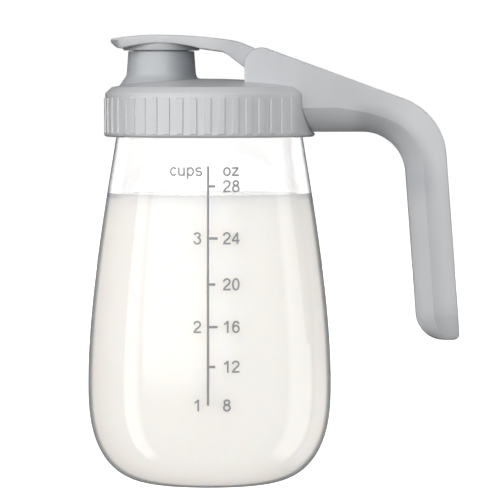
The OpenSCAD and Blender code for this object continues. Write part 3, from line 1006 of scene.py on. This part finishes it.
class BOTTLE_OT_lid(bpy.types.Operator):
    """Make the ribbed screw lid with its domed top and its spout"""

    bl_idname = "bottle.lid"
    bl_label = "Screw lid"

    def execute(self, context):
        settings = context.scene.bottle_lid
        steps = settings.rib_count * RIB_PARTS
        bm = bmesh.new()
        lathe(bm, self.shell_outline(), steps, start=radians(RIB_TURN))
        lathe(bm, self.spout_outline(), steps, centre=SPOUT_X, start=radians(RIB_TURN))
        self.join_spout(bm)
        raise_ribs(bm, settings.rib_count, settings.rib_depth / MM)
        foot = [v for v in bm.verts if self.at_foot(v.co)]
        for _ in range(FOOT_SOFT_ROUNDS):
            bmesh.ops.smooth_vert(
                bm, verts=foot, factor=0.5, use_axis_x=True, use_axis_y=True, use_axis_z=True
            )
        tidy(bm)
        screw_thread(bm, LID_BORE_R, -THREAD_H, THREAD_Z - PITCH / 2)
        plastic = moulded_plastic("lid_plastic", settings.colour, LID_GLOSS, self.painted_shade)
        make_piece("lid_shell", bm, "lid", "grey_plastic", plastic, ("lid",), sharp=38)
        return {"FINISHED"}

    @staticmethod
    def shell_outline():
        """Outline from the underside of the lid's top round its skirt to its dome."""
        low, high = lid_shoulder()
        rows = [RIB_LOW, RIB_LOW + RIB_END, (RIB_LOW + RIB_HIGH) / 2]
        rows += [RIB_HIGH - RIB_END, RIB_HIGH, RIB_HIGH + RIB_CLOSE]
        skirt = [flat(SKIRT_R - RIB_DEPTH, z) for z in rows]
        seat = [flat(SEAT_IN_R, plate_z(SEAT_IN_R)), flat(SEAT_IN_R, PLATE_Z)]
        seat.append(flat(LID_BORE_R, PLATE_Z))
        edge = [flat(LID_BORE_R, SKIRT_Z + RIM_CHAMFER), flat(LID_BORE_R + RIM_CHAMFER, SKIRT_Z)]
        dome = [flat(r, dome_z(r)) for r in (DOME_JOIN_R + DOME_JOIN_STEP, DOME_JOIN_R)]
        return seat + edge + low + skirt + high + dome

    @staticmethod
    def spout_outline():
        """Outline from the foot of the spout's bore over its lip to its waist."""
        bore = [flat(SPOUT_BORE_R, z) for z in (plate_z(SPOUT_X), BORE_SPLIT_Z)]
        mouth = arc(flat(SPOUT_BORE_R + LIP_IN_R, SPOUT_Z - LIP_IN_R), LIP_IN_R, 180, 90, 4)
        mouth += arc(flat(SPOUT_R - LIP_OUT_R, SPOUT_Z - LIP_OUT_R), LIP_OUT_R, 90, 0, 4)
        waist = flare_point(0)
        return bore + mouth + [mouth[-1].lerp(waist, t) for t in (0.33, 0.67, 1.0)]

    @staticmethod
    def join_spout(bm):
        """Draws the spout's foot down to the dome and closes the lid's top around it."""
        ring = open_loop(bm, lambda co: abs(co.z - WAIST_Z) < NEAR)
        for share in spaced(0, 1, 12)[1:]:
            fresh, ring = draw_out(bm, ring)
            for v in fresh:
                turn = atan2(v.co.y, v.co.x - SPOUT_X)
                p = flare_point(flare_end(round(turn, 6)) * share)
                v.co = spout_point(p.x, turn, p.y)
        outer = open_loop(bm, lambda co: abs(hypot(co.x, co.y) - DOME_JOIN_R) < NEAR)
        join_rings(bm, ring, outer, 9, dome_z)
        inner = open_loop(bm, lambda co: PLATE_Z < co.z < dome_z(co.x, co.y) - 1)
        hole = [e for e in inner if all(from_spout(v.co) < SPOUT_R for v in e.verts)]
        seat = [e for e in inner if e not in hole]
        join_rings(bm, hole, seat, 7, plate_z)
        under = plate_z(SPOUT_X)
        for v in bm.verts:
            if from_spout(v.co) < SPOUT_BORE_R + NEAR and abs(v.co.z - under) < NEAR:
                v.co.z = plate_z(v.co.x, v.co.y)

    @staticmethod
    def at_foot(co):
        """Whether a vertex lies close to the line where the spout meets the dome."""
        low, high = FOOT_SOFT_R
        return low < from_spout(co) < high and abs(co.z - dome_z(co.x, co.y)) < FOOT_SOFT_H

    @staticmethod
    def painted_shade(finish):
        """Painted shade on the spout, deepest on the side of the cap's hinge."""
        around = finish.vector("SUBTRACT", finish.place, (SPOUT_X * MM, 0.0, 0.0))
        reach = finish.vector("LENGTH", finish.vector("MULTIPLY", around, (1.0, 1.0, 0.0)))
        side = finish.fade("X", SPOUT_SHADE_X)
        return finish.ease(reach, *SPOUT_SHADE_R) * (side * 0.38 + 0.42)


# ---------- handle ----------

HINGE_X = 21.8
HINGE_Z = 175.7
PIN_R = 2.0
PIN_SKIN = 2.0
PIN_HEAD_RUN = 1.0
KNUCKLE_R = 5.2
KNUCKLE_ROOM = 8.9
CAP_W = 33.2
CAP_PLAY = 0.4
LID_PLAY = 0.04
CUTTER_TOP_Z = 200.0
CUTTER_STEPS = 192

ROOT_W = 42.8
GRIP_W = 25.2
TAPER_X = (34.0, 82.0)
GRIP_D = 17.2
HEAD_R = 7.1
HEAD_SOFT = 0.6
ARM_SLOPE = 20.0
ARM_UNDER_Z = 147.7
REACH = 104.7
GRIP_END_Z = 60.55
GRIP_LEAN = 4.3
BEND_OUT_R = 27.0
BEND_IN_R = 18.5
BEND_X = 62.0
BEND_LOW_Z = 125.0
SOFT_R = 10.1
GRIP_SOFT = 7.0
EDGE_R = 0.9
ARCH_TURN = (25, 66)
ARCH_SHARE = 0.42
STRIP_X = 33.9
STRIP_T = 2.0
STRIP_LAND = 1.6
STRIP_EDGE_R = 0.3
STRIP_END = 5 / 7
END_R = 11.0
END_TAPER = 2.6
END_ROUND = 2.4
HEEL_R = 2.6
HANDLE_TONE = 1.09
# Painted shade on the handle: around its bend, past the bend's own radius, then along X or Z
BEND_SHADE = (0.014, 0.006)
BEND_SHADE_X = (0.056, 0.066)
BEND_SHADE_Z = (0.115, 0.13)
GRIP_SHADE_Z = (0.14, 0.122)
HEAD_SHADE_X = (0.05, 0.03)

PIVOT = flat(HINGE_X, HINGE_Z)
HEAD_FRONT = HINGE_X - HEAD_R
SLOPE = radians(ARM_SLOPE)
LEAN = radians(GRIP_LEAN)
TOP_DIR = flat(cos(SLOPE), -sin(SLOPE))
GRIP_DIR = flat(sin(LEAN), -cos(LEAN))
TOP_TANGENT = PIVOT + HEAD_R * flat(sin(SLOPE), cos(SLOPE))
OUT_LOW = flat(REACH, GRIP_END_Z + 2)
IN_LOW = OUT_LOW - flat(GRIP_D, 0)
OUT_KNEE = meeting(TOP_TANGENT, TOP_DIR, OUT_LOW, GRIP_DIR)
IN_KNEE = meeting(flat(0, ARM_UNDER_Z), flat(1, 0), IN_LOW, GRIP_DIR)


def knee_arc(knee, u, v, radius):
    """Arc that rounds the knee between the directions u and v."""
    turn = degrees(acos(u.dot(v)))
    centre = knee - u * (radius * tan(radians(turn / 2))) + flat(u.y, -u.x) * radius
    start = degrees(atan2(-u.x, u.y)) + 180
    return arc(centre, radius, start, start - turn, 30)


def arm_top(x):
    """Height of the handle's top edge over the arm and the round head."""
    if x < TOP_TANGENT.x:
        return HINGE_Z + sqrt(max(0.0, HEAD_R**2 - (x - HINGE_X) ** 2))
    return TOP_TANGENT.y - (x - TOP_TANGENT.x) * tan(SLOPE)


def grip_line(low, z):
    """Point at height z on the side of the grip that passes through low."""
    return low + GRIP_DIR * ((low.y - z) / cos(LEAN))


def half_width(x):
    first, last = TAPER_X
    return (ROOT_W + (GRIP_W - ROOT_W) * smoothstep((x - first) / (last - first))) / 2


class Station:
    """One cross-section of the handle: its inner and outer point and its half width."""

    def __init__(self, inner, outer, width, soft=SOFT_R):
        self.inner = inner
        self.outer = outer
        self.width = width
        self.depth = (outer - inner).length
        self.soft = min(soft, self.depth * ARCH_SHARE)

    def ring(self, side):
        """Half an outline of (across, up) and its mirror image, with up from the inner point."""
        up = (self.outer - self.inner).normalized()
        spots = [(p.x, self.inner + up * p.y) for p in mirrored(side)]
        return [Vector((q.x, across, q.y)) for across, q in spots]

    def body(self, recess):
        """Ring of the shell: arched inner side, and a seat for the cover on its outer side."""
        land = self.width - STRIP_LAND
        top = self.depth - EDGE_R
        side = [flat(land * k, self.depth - recess) for k in (0.0, 0.5, 1.0)]
        side.append(flat(land, self.depth))
        side += arc(flat(self.width - EDGE_R, top), EDGE_R, 90, 0, 5)
        side += [flat(self.width, top - (top - self.soft) * k) for k in (0.33, 0.67)]
        first, last = (radians(a) for a in ARCH_TURN)
        radius = self.soft / (sin(last) - sin(first))
        for a in spaced(first, last, 8):
            across = self.width - radius * (cos(first) - cos(a))
            side.append(flat(across, self.soft - radius * (sin(a) - sin(first))))
        return self.ring(side + [flat(side[-1].x / 2, 0), flat(0, 0)])

    def cover(self, seam):
        """Ring of the cover strip."""
        wide = self.width - STRIP_LAND - seam
        low = self.depth - STRIP_T + seam
        side = [flat(0, self.depth), flat(wide * 0.5, self.depth)]
        side += arc(flat(wide - STRIP_EDGE_R, self.depth - STRIP_EDGE_R), STRIP_EDGE_R, 90, 0, 3)
        return self.ring(side + [flat(wide, low), flat(0, low)])


def arm_stations():
    """Sections of the head, rounded at its front, and of the arm up to the bend."""
    sizes = []
    for a in spaced(0, 90, 5):
        x = HEAD_FRONT + HEAD_SOFT * (1 - cos(radians(a)))
        sizes.append((x, half_width(x) - HEAD_SOFT + HEAD_SOFT * sin(radians(a))))
    front = HEAD_FRONT + HEAD_SOFT
    xs = [front + (TOP_TANGENT.x - front) * t**1.6 for t in spaced(0, 1, 20)[1:]]
    xs += spaced(TOP_TANGENT.x, BEND_X, 31)[1:]
    sizes += [(x, half_width(x)) for x in xs]
    return [Station(flat(x, ARM_UNDER_Z), flat(x, arm_top(x)), wide) for x, wide in sizes]


def stations_along(inner, outer, steps, soft, taper=0.0, round_off=0.0):
    """Sections at even steps along two paths, without the first.

    soft is how deep the arched side is at the first and at the last section. The sides draw
    in by taper evenly, and by round_off in a curve that steepens towards the last section.
    """
    stations = []
    for t in spaced(0, 1, steps)[1:]:
        p, q = along(inner, t), along(outer, t)
        width = half_width((p.x + q.x) / 2) - taper * t - round_off * (1 - sqrt(1 - 0.98 * t * t))
        stations.append(Station(p, q, width, soft[0] + (soft[1] - soft[0]) * t))
    return stations


def handle_stations():
    """Sections of the handle from its head to its grip's end, and the cover's first and last."""
    stations = arm_stations()
    cover_from = next(i for i, station in enumerate(stations) if station.inner.x > STRIP_X)

    bend_in = [flat(BEND_X, ARM_UNDER_Z)] + knee_arc(IN_KNEE, flat(1, 0), GRIP_DIR, BEND_IN_R)
    bend_out = [flat(BEND_X, arm_top(BEND_X))] + knee_arc(OUT_KNEE, TOP_DIR, GRIP_DIR, BEND_OUT_R)
    bend_in.append(grip_line(IN_LOW, BEND_LOW_Z))
    bend_out.append(grip_line(OUT_LOW, BEND_LOW_Z + GRIP_D * tan(LEAN)))

    end_c = flat(grip_line(IN_LOW, GRIP_END_Z + END_R).x + END_R, GRIP_END_Z + END_R)
    heel_c = flat(grip_line(OUT_LOW, GRIP_END_Z + HEEL_R).x - HEEL_R, GRIP_END_Z + HEEL_R)
    end_in = arc(end_c, END_R, 180, 270, 24)
    end_out = [grip_line(OUT_LOW, GRIP_END_Z + END_R)] + arc(heel_c, HEEL_R, 0, -90, 12)

    stations += stations_along(bend_in, bend_out, 40, (SOFT_R, GRIP_SOFT))
    grip_in, grip_out = [bend_in[-1], end_in[0]], [bend_out[-1], end_out[0]]
    grip_soft = (GRIP_SOFT, GRIP_SOFT)
    stations += stations_along(grip_in, grip_out, 12, grip_soft)
    end = stations_along(end_in, end_out, 24, grip_soft, END_TAPER, END_ROUND)
    cover_to = len(stations) + int(len(end) * STRIP_END) - 1
    return stations + end, cover_from, cover_to


class BOTTLE_OT_handle(bpy.types.Operator):
    """Make the side handle with its cover strip"""

    bl_idname = "bottle.handle"
    bl_label = "Side handle"

    def execute(self, context):
        settings = context.scene.bottle_handle
        stations, first, last = handle_stations()
        rings = [station.body(0.0) for station in stations[: first + 1]]
        rings += [station.body(STRIP_T) for station in stations[first : last + 1]]
        rings += [station.body(0.0) for station in stations[last:]]
        bm = bmesh.new()
        loft(bm, rings)
        slot = CAP_W / 2 + CAP_PLAY
        pin_ends = (PIN_SKIN - ROOT_W / 2, PIN_HEAD_RUN + ROOT_W / 2)
        cutters = [
            lid_solid(LID_PLAY),
            box_solid((0, -slot, SKIRT_Z), (HINGE_X + KNUCKLE_ROOM, slot, CUTTER_TOP_Z)),
            rod_solid(PIN_R, HINGE_X, HINGE_Z, *pin_ends),
        ]
        bm = carve(bm, cutters)
        colour = shade(settings.colour, HANDLE_TONE)
        plastic = moulded_plastic("handle_plastic", colour, HANDLE_GLOSS, self.painted_shade)
        made_of = ("light_grey_plastic", plastic)
        make_piece("handle_body", bm, "lid", *made_of, ("handle_shell",), sharp=19)
        bm = bmesh.new()
        loft(bm, [station.cover(settings.seam / MM) for station in stations[first : last + 1]])
        make_piece("handle_strip", bm, "lid", *made_of, ("handle_cover",), sharp=40)
        return {"FINISHED"}

    @staticmethod
    def painted_shade(finish):
        """Painted shade along the inner side of the bend and the grip, and on the head."""
        x, z = (finish.axis(finish.place, letter) for letter in "XZ")
        above = z - ARM_UNDER_Z * MM
        beside = x - IN_KNEE.x * MM + above * tan(LEAN)
        bend = BEND_IN_R * MM
        over = {"X": (beside + bend).at_least(0.0), "Y": (above + bend).at_least(0.0)}
        depth = finish.vector("LENGTH", finish.node("ShaderNodeCombineXYZ", sockets=over))
        inner = finish.ease(depth - bend, *BEND_SHADE) * finish.fade("X", BEND_SHADE_X)
        grip, head = finish.fade("Z", GRIP_SHADE_Z), finish.fade("X", HEAD_SHADE_X)
        turned = finish.fade("Z", BEND_SHADE_Z)
        return grip * 0.13 + inner * (turned * 0.2 + 0.24) + head * 0.25


# ---------- flip cap ----------

CAP_TOP_Z = 188.13
CAP_CROWN_X = SPOUT_X - 1.4
CAP_ARCH_R = 215.0
CAP_TAB_R = 110.0
CAP_CROWN = 3.5
CAP_TIP_X = SPOUT_X - 21
CAP_TIP_R = 0.9
CAP_TIP_FALL = flat(0.15, -0.8)
CAP_KNEE_X = HINGE_X - 9.9
CAP_KNEE_R = 2.4
CAP_ARCH_END = CAP_KNEE_X - 3
CAP_KNEE_FROM = CAP_KNEE_X - 6
CAP_ELBOW = flat(-4.0, -8.3)
CAP_SHOULDER = flat(-6.0, -7.1)
CAP_UNDER_R = 0.9
CAP_RISE = radians(37.1)
CAP_DROP = radians(21.9)
CAP_ARCH = 60.0
CAP_ARCH_X = (SPOUT_X - 16.0, SPOUT_X + 16.2)
CAP_CORNER_R = 8.0
CAP_HEEL = flat(2.5, 5.35)
CAP_HEEL_R = 0.5
CAP_END_TOP = 2.4
CAP_SKIN = 2.4
CAP_WEB = 1.8
CAP_STEP = 1.2
CAP_MIN_STEP = 0.04
PIN_PLAY = 0.05
# Painted shade on the lever: where it fades in along X, towards the hinge
LEVER_SHADE_X = (-0.002, 0.012)

COVER_R = 16.0
COVER_Z = 181.7
COVER_SOFT = 0.35
COVER_RISE = 5.0
COVER_STEPS = 128
COVER_GAP = 0.01
COVER_TONE = 0.76
# Painted shade on the spout cover: where it fades in along X, towards the hinge
COVER_SHADE_X = (-0.019, -0.007)
HOLLOW_X = (SPOUT_X + COVER_R + 2, CAP_KNEE_X - 3.7)
SPIGOT_R = 8.6
SPIGOT_H = 5.2


def arch_top(x):
    radius = CAP_TAB_R if x < CAP_CROWN_X else CAP_ARCH_R
    return CAP_TOP_Z - (x - CAP_CROWN_X) ** 2 / (2 * radius)


def arch_low(x):
    return CAP_TOP_Z - CAP_CROWN - (x - SPOUT_X) ** 2 / (2 * CAP_ARCH)


def cap_top():
    """Upper outline of the flip cap, from its tab's tip to its hinge."""
    start = CAP_TIP_X + CAP_TIP_R
    path = arc(flat(start, arch_top(start) - CAP_TIP_R), CAP_TIP_R, 180, 95, 8)
    path += [flat(x, arch_top(x)) for x in spaced(start, CAP_ARCH_END, 24)[1:]]
    before, knee = (flat(x, arch_top(x)) for x in (CAP_KNEE_FROM, CAP_KNEE_X))
    down = PIVOT + KNUCKLE_R * flat(sin(CAP_DROP), cos(CAP_DROP))
    path += rounded(before, knee, down, CAP_KNEE_R)
    return path + arc(PIVOT, KNUCKLE_R, 90 - degrees(CAP_DROP), 0, 16)


def cap_low():
    """Lower outline of the flip cap, from its tab's tip to its hinge."""
    tip = flat(CAP_TIP_X, arch_top(CAP_TIP_X + CAP_TIP_R) - CAP_TIP_R)
    path = [tip, tip + CAP_TIP_FALL]
    arch = [flat(x, arch_low(x)) for x in spaced(*CAP_ARCH_X, 28)]
    heel = flat(CAP_TIP_X + CAP_HEEL.x, CAP_TOP_Z - CAP_HEEL.y)
    path += rounded(path[-1], heel, arch[0], CAP_HEEL_R, 3) + arch
    shoulder, elbow = (flat(CAP_KNEE_X, CAP_TOP_Z) + way for way in (CAP_SHOULDER, CAP_ELBOW))
    up = PIVOT - KNUCKLE_R * flat(sin(CAP_RISE), cos(CAP_RISE))
    path += rounded(arch[-1], shoulder, elbow, CAP_UNDER_R, 4)
    path += rounded(shoulder, elbow, up, CAP_UNDER_R, 4)
    return path + arc(PIVOT, KNUCKLE_R, 270 - degrees(CAP_RISE), 360, 24)


class BOTTLE_OT_flip_cap(bpy.types.Operator):
    """Make the flip cap with its pull tab, hinge knuckle and hollows"""

    bl_idname = "bottle.flip_cap"
    bl_label = "Flip cap"

    def execute(self, context):
        settings = context.scene.bottle_cap
        top, low = cap_top(), cap_low()
        places = sorted({round(p.x, 3) for p in top + low})
        xs = [CAP_TIP_X + 0.03]
        for x in places:
            gap = x - xs[-1]
            if gap > CAP_MIN_STEP and x < HINGE_X + KNUCKLE_R - 0.02:
                xs += spaced(xs[-1], x, max(1, ceil(gap / CAP_STEP)))[1:]
        edge = settings.edge / MM
        rings = [self.section(x, cross_at(top, 0, x), cross_at(low, 0, x), edge) for x in xs]
        bm = bmesh.new()
        loft(bm, rings)
        cutters = [rod_solid(PIN_R + PIN_PLAY, HINGE_X, HINGE_Z, -CAP_W, CAP_W)]
        cutters += [self.hollow(side) for side in (-1, 1)]
        bm = carve(bm, cutters)
        plastic = moulded_plastic("flip_cap_plastic", settings.colour, HANDLE_GLOSS, self.painted_shade)
        made_of = ("light_grey_plastic", plastic)
        make_piece("flip_cap_lever", bm, "flip_cap", *made_of, ("flip_cap",), sharp=35)
        return {"FINISHED"}

    @staticmethod
    def painted_shade(finish):
        """Painted shade on the lever towards its hinge, where the handle's head stands over it.
        """
        return finish.fade("X", LEVER_SHADE_X) * 0.28

    @staticmethod
    def corner(x, z):
        """How far the tab's rounded corner draws the cap's side in at x and z."""
        heel = max(0.0, CAP_TOP_Z - CAP_END_TOP - z) / (CAP_HEEL.y - CAP_END_TOP)
        from_tip = max(0.0, x - CAP_TIP_X - CAP_HEEL.x * min(1.0, heel))
        if from_tip > CAP_CORNER_R:
            return 0.0
        return CAP_CORNER_R - sqrt(CAP_CORNER_R**2 - (CAP_CORNER_R - from_tip) ** 2)

    @classmethod
    def section(cls, x, high, low, edge):
        """Ring of the cap at x, with soft upper and lower edges."""
        half = CAP_W / 2
        soft = min(edge, (high - low) * 0.48)
        under = soft * 0.7
        side = [flat(half * k, high) for k in (0.0, 0.25, 0.5)]
        side += arc(flat(half - soft, high - soft), soft, 90, 0, 5)
        side += arc(flat(half - under, low + under), under, 0, -90, 4)
        side += [flat(half * k, low) for k in (0.5, 0.25, 0.0)]
        side = [flat(p.x - cls.corner(x, p.y) * (p.x > half * 0.6), p.y) for p in side]
        return [Vector((x, p.x, p.y)) for p in mirrored(side)]

    @staticmethod
    def hollow(side):
        """Solid of one hollow between the spout cover and the hinge."""
        first, last = (flat(x, HINGE_Z) for x in HOLLOW_X)
        roof = [flat(x, arch_top(x) - CAP_SKIN) for x in spaced(*HOLLOW_X, 6)]
        outline = [first] + roof + [last]
        bm = bmesh.new()
        face = bmesh.ops.contextual_create(bm, geom=wire(bm, outline, closed=True))["faces"]
        made = bmesh.ops.extrude_face_region(bm, geom=face)["geom"]
        for v in bm.verts:
            v.co.y = side * CAP_WEB / 2
        for v in verts_in(made):
            v.co.y = side * (CAP_W / 2 - CAP_SKIN)
        return bm


class BOTTLE_OT_spout_cover(bpy.types.Operator):
    """Make the round cover under the flip cap that closes the spout"""

    bl_idname = "bottle.spout_cover"
    bl_label = "Spout cover"

    def execute(self, context):
        settings = context.scene.bottle_lid
        spigot = [flat(r, COVER_Z - SPIGOT_H) for r in (0, SPIGOT_R)]
        lower = [flat(r, COVER_Z) for r in (SPIGOT_R, COVER_R - COVER_SOFT - 1)]
        lower += arc(flat(COVER_R - COVER_SOFT, COVER_Z + COVER_SOFT), COVER_SOFT, -90, 0, 4)
        upper = [flat(r, COVER_Z + COVER_RISE) for r in spaced(COVER_R, 0, 10)]
        bm = bmesh.new()
        lathe(bm, spigot + lower + upper, COVER_STEPS, centre=SPOUT_X)
        for v in bm.verts:
            if v.co.z > COVER_Z + COVER_RISE - NEAR:
                v.co.z = arch_low(v.co.x) - COVER_GAP
        colour = shade(settings.colour, COVER_TONE)
        plastic = moulded_plastic("cover_plastic", colour, LID_GLOSS, self.painted_shade)
        made_of = ("grey_plastic", plastic)
        make_piece("spout_cover_disc", bm, "flip_cap", *made_of, ("spout_cover",), sharp=38)
        return {"FINISHED"}

    @staticmethod
    def painted_shade(finish):
        """Painted shade under the lever, on the side of the hinge."""
        return finish.fade("X", COVER_SHADE_X) * 0.7


STEEL = (0.60, 0.61, 0.63)


class BOTTLE_OT_hardware(bpy.types.Operator):
    """Give the pin, the screws, the gasket and the stopper their finishes"""

    bl_idname = "bottle.hardware"
    bl_label = "Pin, screws and seals"

    def execute(self, context):
        settings = context.scene.bottle_cap
        steel = bright_steel("steel", STEEL)
        silicone = silicone_rubber("silicone", settings.silicone)
        finishes = {
            "hinge_pin": steel,
            "handle_screws": steel,
            "lid_gasket": silicone,
            "spout_stopper": silicone,
        }
        for node, material in finishes.items():
            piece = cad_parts[node]
            if not piece.material_slots:
                piece.data.materials.append(material)
            for held in piece.material_slots:
                held.material = material
        return {"FINISHED"}


# ---------- stage ----------

CAMERA_PLACE = (17.0, -1596.0, 166.2)
CAMERA_PITCH = 2.449
FOCAL_PX = 3800.0
FRAME_PX = 500
SENSOR_MM = 36.0

# In metres: what the lights look at, and the radius of the floor and of the dome over it
AIM = (0.0, 0.0, 0.11)
STAGE_R = 9.0
FLOOR_DROP = 0.0001

# How bright the floor and the backdrop glow, and the share of it straight behind the bottle
FLOOR_GLOW = (1.25, 0.95)
BACKDROP_GLOW = (1.92, 0.54)
BEHIND_Y = (-0.6, -0.15)
BEHIND_ASIDE = (2.4, 1.5)
# Brightness of the surroundings below, level with and above the bottle
SKY = (0.04, 0.05, 0.25)

# For each light its turn from the front and its rise in degrees, its distance and its width
# and height in metres, the widths over which it fades at its left, right, lower and upper
# side, and what doesn't see it
LIGHTS = {
    "key": (-35, 18, 1.7, (2.38, 1.9), (0.3, 0, 0.8, 0.5), ()),
    "front": (20.5, 18, 1.7, (1.27, 1.9), (0, 1.2, 0.8, 0.5), ()),
    "right": (96, -3, 1.5, (1.05, 3.4), (0.25, 0.2, 0.6, 0.6), ()),
    "rim": (132, 0, 1.5, (0.95, 3.0), (0.2, 0.3, 0.6, 0.6), ("diffuse",)),
    "back": (180, 6, 1.9, (2.6, 1.6), (0.5, 0.5, 0.5, 0.5), ("glossy",)),
    "streak": (-77, -8, 1.5, (0.6, 3.2), (0.1, 0.25, 0.6, 0.6), ("diffuse",)),
}


def hide_from(item, *rays):
    for ray in rays:
        setattr(item, "visible_" + ray, False)


def soft_light(name, watts, turn, rise, distance, size, fades, unseen):
    """An area light that looks at the bottle and fades out towards its sides."""
    lamp = bpy.data.lights.new(name, "AREA")
    lamp.shape = "RECTANGLE"
    lamp.size, lamp.size_y = size
    lamp.energy = watts
    holder = bpy.data.objects.new(name, lamp)
    a, e = radians(turn), radians(rise)
    across = Vector((cos(a), sin(a), 0.0))
    away = Vector((sin(a) * cos(e), -cos(a) * cos(e), sin(e)))
    upward = away.cross(across) * -1
    holder.location = Vector(AIM) + away * distance
    holder.rotation_euler = away.to_track_quat("Z", "Y").to_euler()
    hide_from(holder, "camera", "transmission", *unseen)
    bpy.context.scene.collection.objects.link(holder)

    lamp.use_nodes = True
    nodes = Nodes(lamp.node_tree)
    spot = nodes.node("ShaderNodeNewGeometry", output="Position")
    strength = 1.0
    sides = ((across, -1), (across, 1), (upward, -1), (upward, 1))
    for (axis, side), extent, fade in zip(sides, (size[0], size[0], size[1], size[1]), fades):
        if fade:
            end = holder.location.dot(axis) + side * extent / 2
            reach = nodes.vector("DOT_PRODUCT", spot, axis)
            strength = nodes.ease(reach, end, end - side * fade) * strength
    nodes.plug(lamp.node_tree.nodes["Emission"].inputs["Strength"], strength)


class BOTTLE_OT_stage(bpy.types.Operator):
    """Set up the floor, the soft studio light and the camera"""

    bl_idname = "bottle.stage"
    bl_label = "Stage"

    def execute(self, context):
        scene = context.scene
        settings = scene.bottle_stage
        floor = bmesh.new()
        bmesh.ops.create_circle(floor, cap_ends=True, radius=STAGE_R, segments=96)
        bmesh.ops.translate(floor, verts=floor.verts, vec=(0, 0, -FLOOR_DROP))
        self.backing("floor", floor, settings.floor, *FLOOR_GLOW)
        dome = bmesh.new()
        bmesh.ops.create_uvsphere(dome, u_segments=96, v_segments=32, radius=STAGE_R)
        cut = {"plane_co": (0, 0, 0), "plane_no": (0, 0, 1), "clear_inner": True}
        bmesh.ops.bisect_plane(dome, geom=everything(dome), **cut)
        self.backing("backdrop", dome, settings.floor, *BACKDROP_GLOW)
        for name, plan in LIGHTS.items():
            soft_light(name, getattr(settings, name), *plan)
        self.sky(scene)
        self.camera(scene)
        scene.view_settings.view_transform = "Standard"
        return {"FINISHED"}

    @staticmethod
    def camera(scene):
        camera = bpy.data.cameras.new("camera")
        camera.sensor_width = SENSOR_MM
        camera.lens = FOCAL_PX / FRAME_PX * SENSOR_MM
        camera.clip_start = 0.1
        camera.clip_end = 50
        holder = bpy.data.objects.new("camera", camera)
        holder.location = Vector(CAMERA_PLACE) * MM
        holder.rotation_euler = (radians(90 - CAMERA_PITCH), 0, 0)
        scene.collection.objects.link(holder)
        scene.camera = holder

    @staticmethod
    def backing(name, bm, colour, glow, far):
        """A white surface around the bottle that neither lights its plastic nor mirrors in it.

        Its glow falls to a share of itself straight behind the bottle.
        """
        piece = bpy.data.objects.new(name, to_mesh(name, bm))
        bpy.context.scene.collection.objects.link(piece)
        hide_from(piece, "diffuse", "glossy", "shadow")
        paper = Finish(name + "_paper", Roughness=0.9, Specular_IOR_Level=0.1)
        aside = paper.vector("LENGTH", paper.vector("MULTIPLY", paper.place, (1.0, 0.0, 0.0)))
        behind = paper.fade("Y", BEHIND_Y) * paper.ease(aside, *BEHIND_ASIDE)
        paper.set(
            Base_Color=paper.mottled(paper.noise(1.2, 2.0), colour, 0.36, 0.38),
            Emission_Color=paper.mottled(behind, colour, 1.0, far),
            Emission_Strength=glow,
        )
        piece.data.materials.append(paper.material)

    @staticmethod
    def sky(scene):
        """Dim soft surroundings, a little brighter overhead."""
        scene.world = bpy.data.worlds.new("studio")
        scene.world.use_nodes = True
        nodes = Nodes(scene.world.node_tree)
        rise = nodes.axis(nodes.node("ShaderNodeTexCoord", output="Generated"), "Z")
        low, middle, high = (shade((level,) * 3) for level in SKY)
        upper = nodes.mix(nodes.ease(rise, 0.0, 0.8), middle, high)
        colour = nodes.mix(nodes.ease(rise, 0.0, -0.5), upper, low)
        nodes.plug(nodes.tree.nodes["Background"].inputs["Color"], colour)


# ---------- panel ----------


class BOTTLE_PT_panel(bpy.types.Panel):
    """Sizes, colours and steps of the bottle"""

    bl_idname = "BOTTLE_PT_panel"
    bl_label = "Detergent bottle"
    bl_space_type = "VIEW_3D"
    bl_region_type = "UI"
    bl_category = "Bottle"

    def draw(self, context):
        for title, name, group, steps in SECTIONS:
            box = self.layout.box()
            box.label(text=title)
            for key in group.__annotations__:
                box.prop(getattr(context.scene, name), key)
            for step in steps:
                box.operator(step.bl_idname)


SECTIONS = (
    ("Jar", "bottle_jar", JarSettings, (BOTTLE_OT_jar, BOTTLE_OT_liquid, BOTTLE_OT_scale)),
    ("Lid", "bottle_lid", LidSettings, (BOTTLE_OT_lid,)),
    ("Handle", "bottle_handle", HandleSettings, (BOTTLE_OT_handle,)),
    (
        "Cap",
        "bottle_cap",
        CapSettings,
        (BOTTLE_OT_flip_cap, BOTTLE_OT_spout_cover, BOTTLE_OT_hardware),
    ),
    ("Stage", "bottle_stage", StageSettings, (BOTTLE_OT_stage,)),
)
STEPS = [step for *_, steps in SECTIONS for step in steps]
CLASSES = [group for _, _, group, _ in SECTIONS] + STEPS + [BOTTLE_PT_panel]


def register():
    for item in CLASSES:
        bpy.utils.register_class(item)
    for _, name, group, _ in SECTIONS:
        setattr(bpy.types.Scene, name, bpy.props.PointerProperty(type=group))


def unregister():
    for _, name, _, _ in SECTIONS:
        delattr(bpy.types.Scene, name)
    for item in reversed(CLASSES):
        bpy.utils.unregister_class(item)


def main():
    """Builds every piece and the stage."""
    register()
    for step in STEPS:
        getattr(bpy.ops.bottle, step.bl_idname.split(".")[1])()


if __name__ == "__main__":
    main()
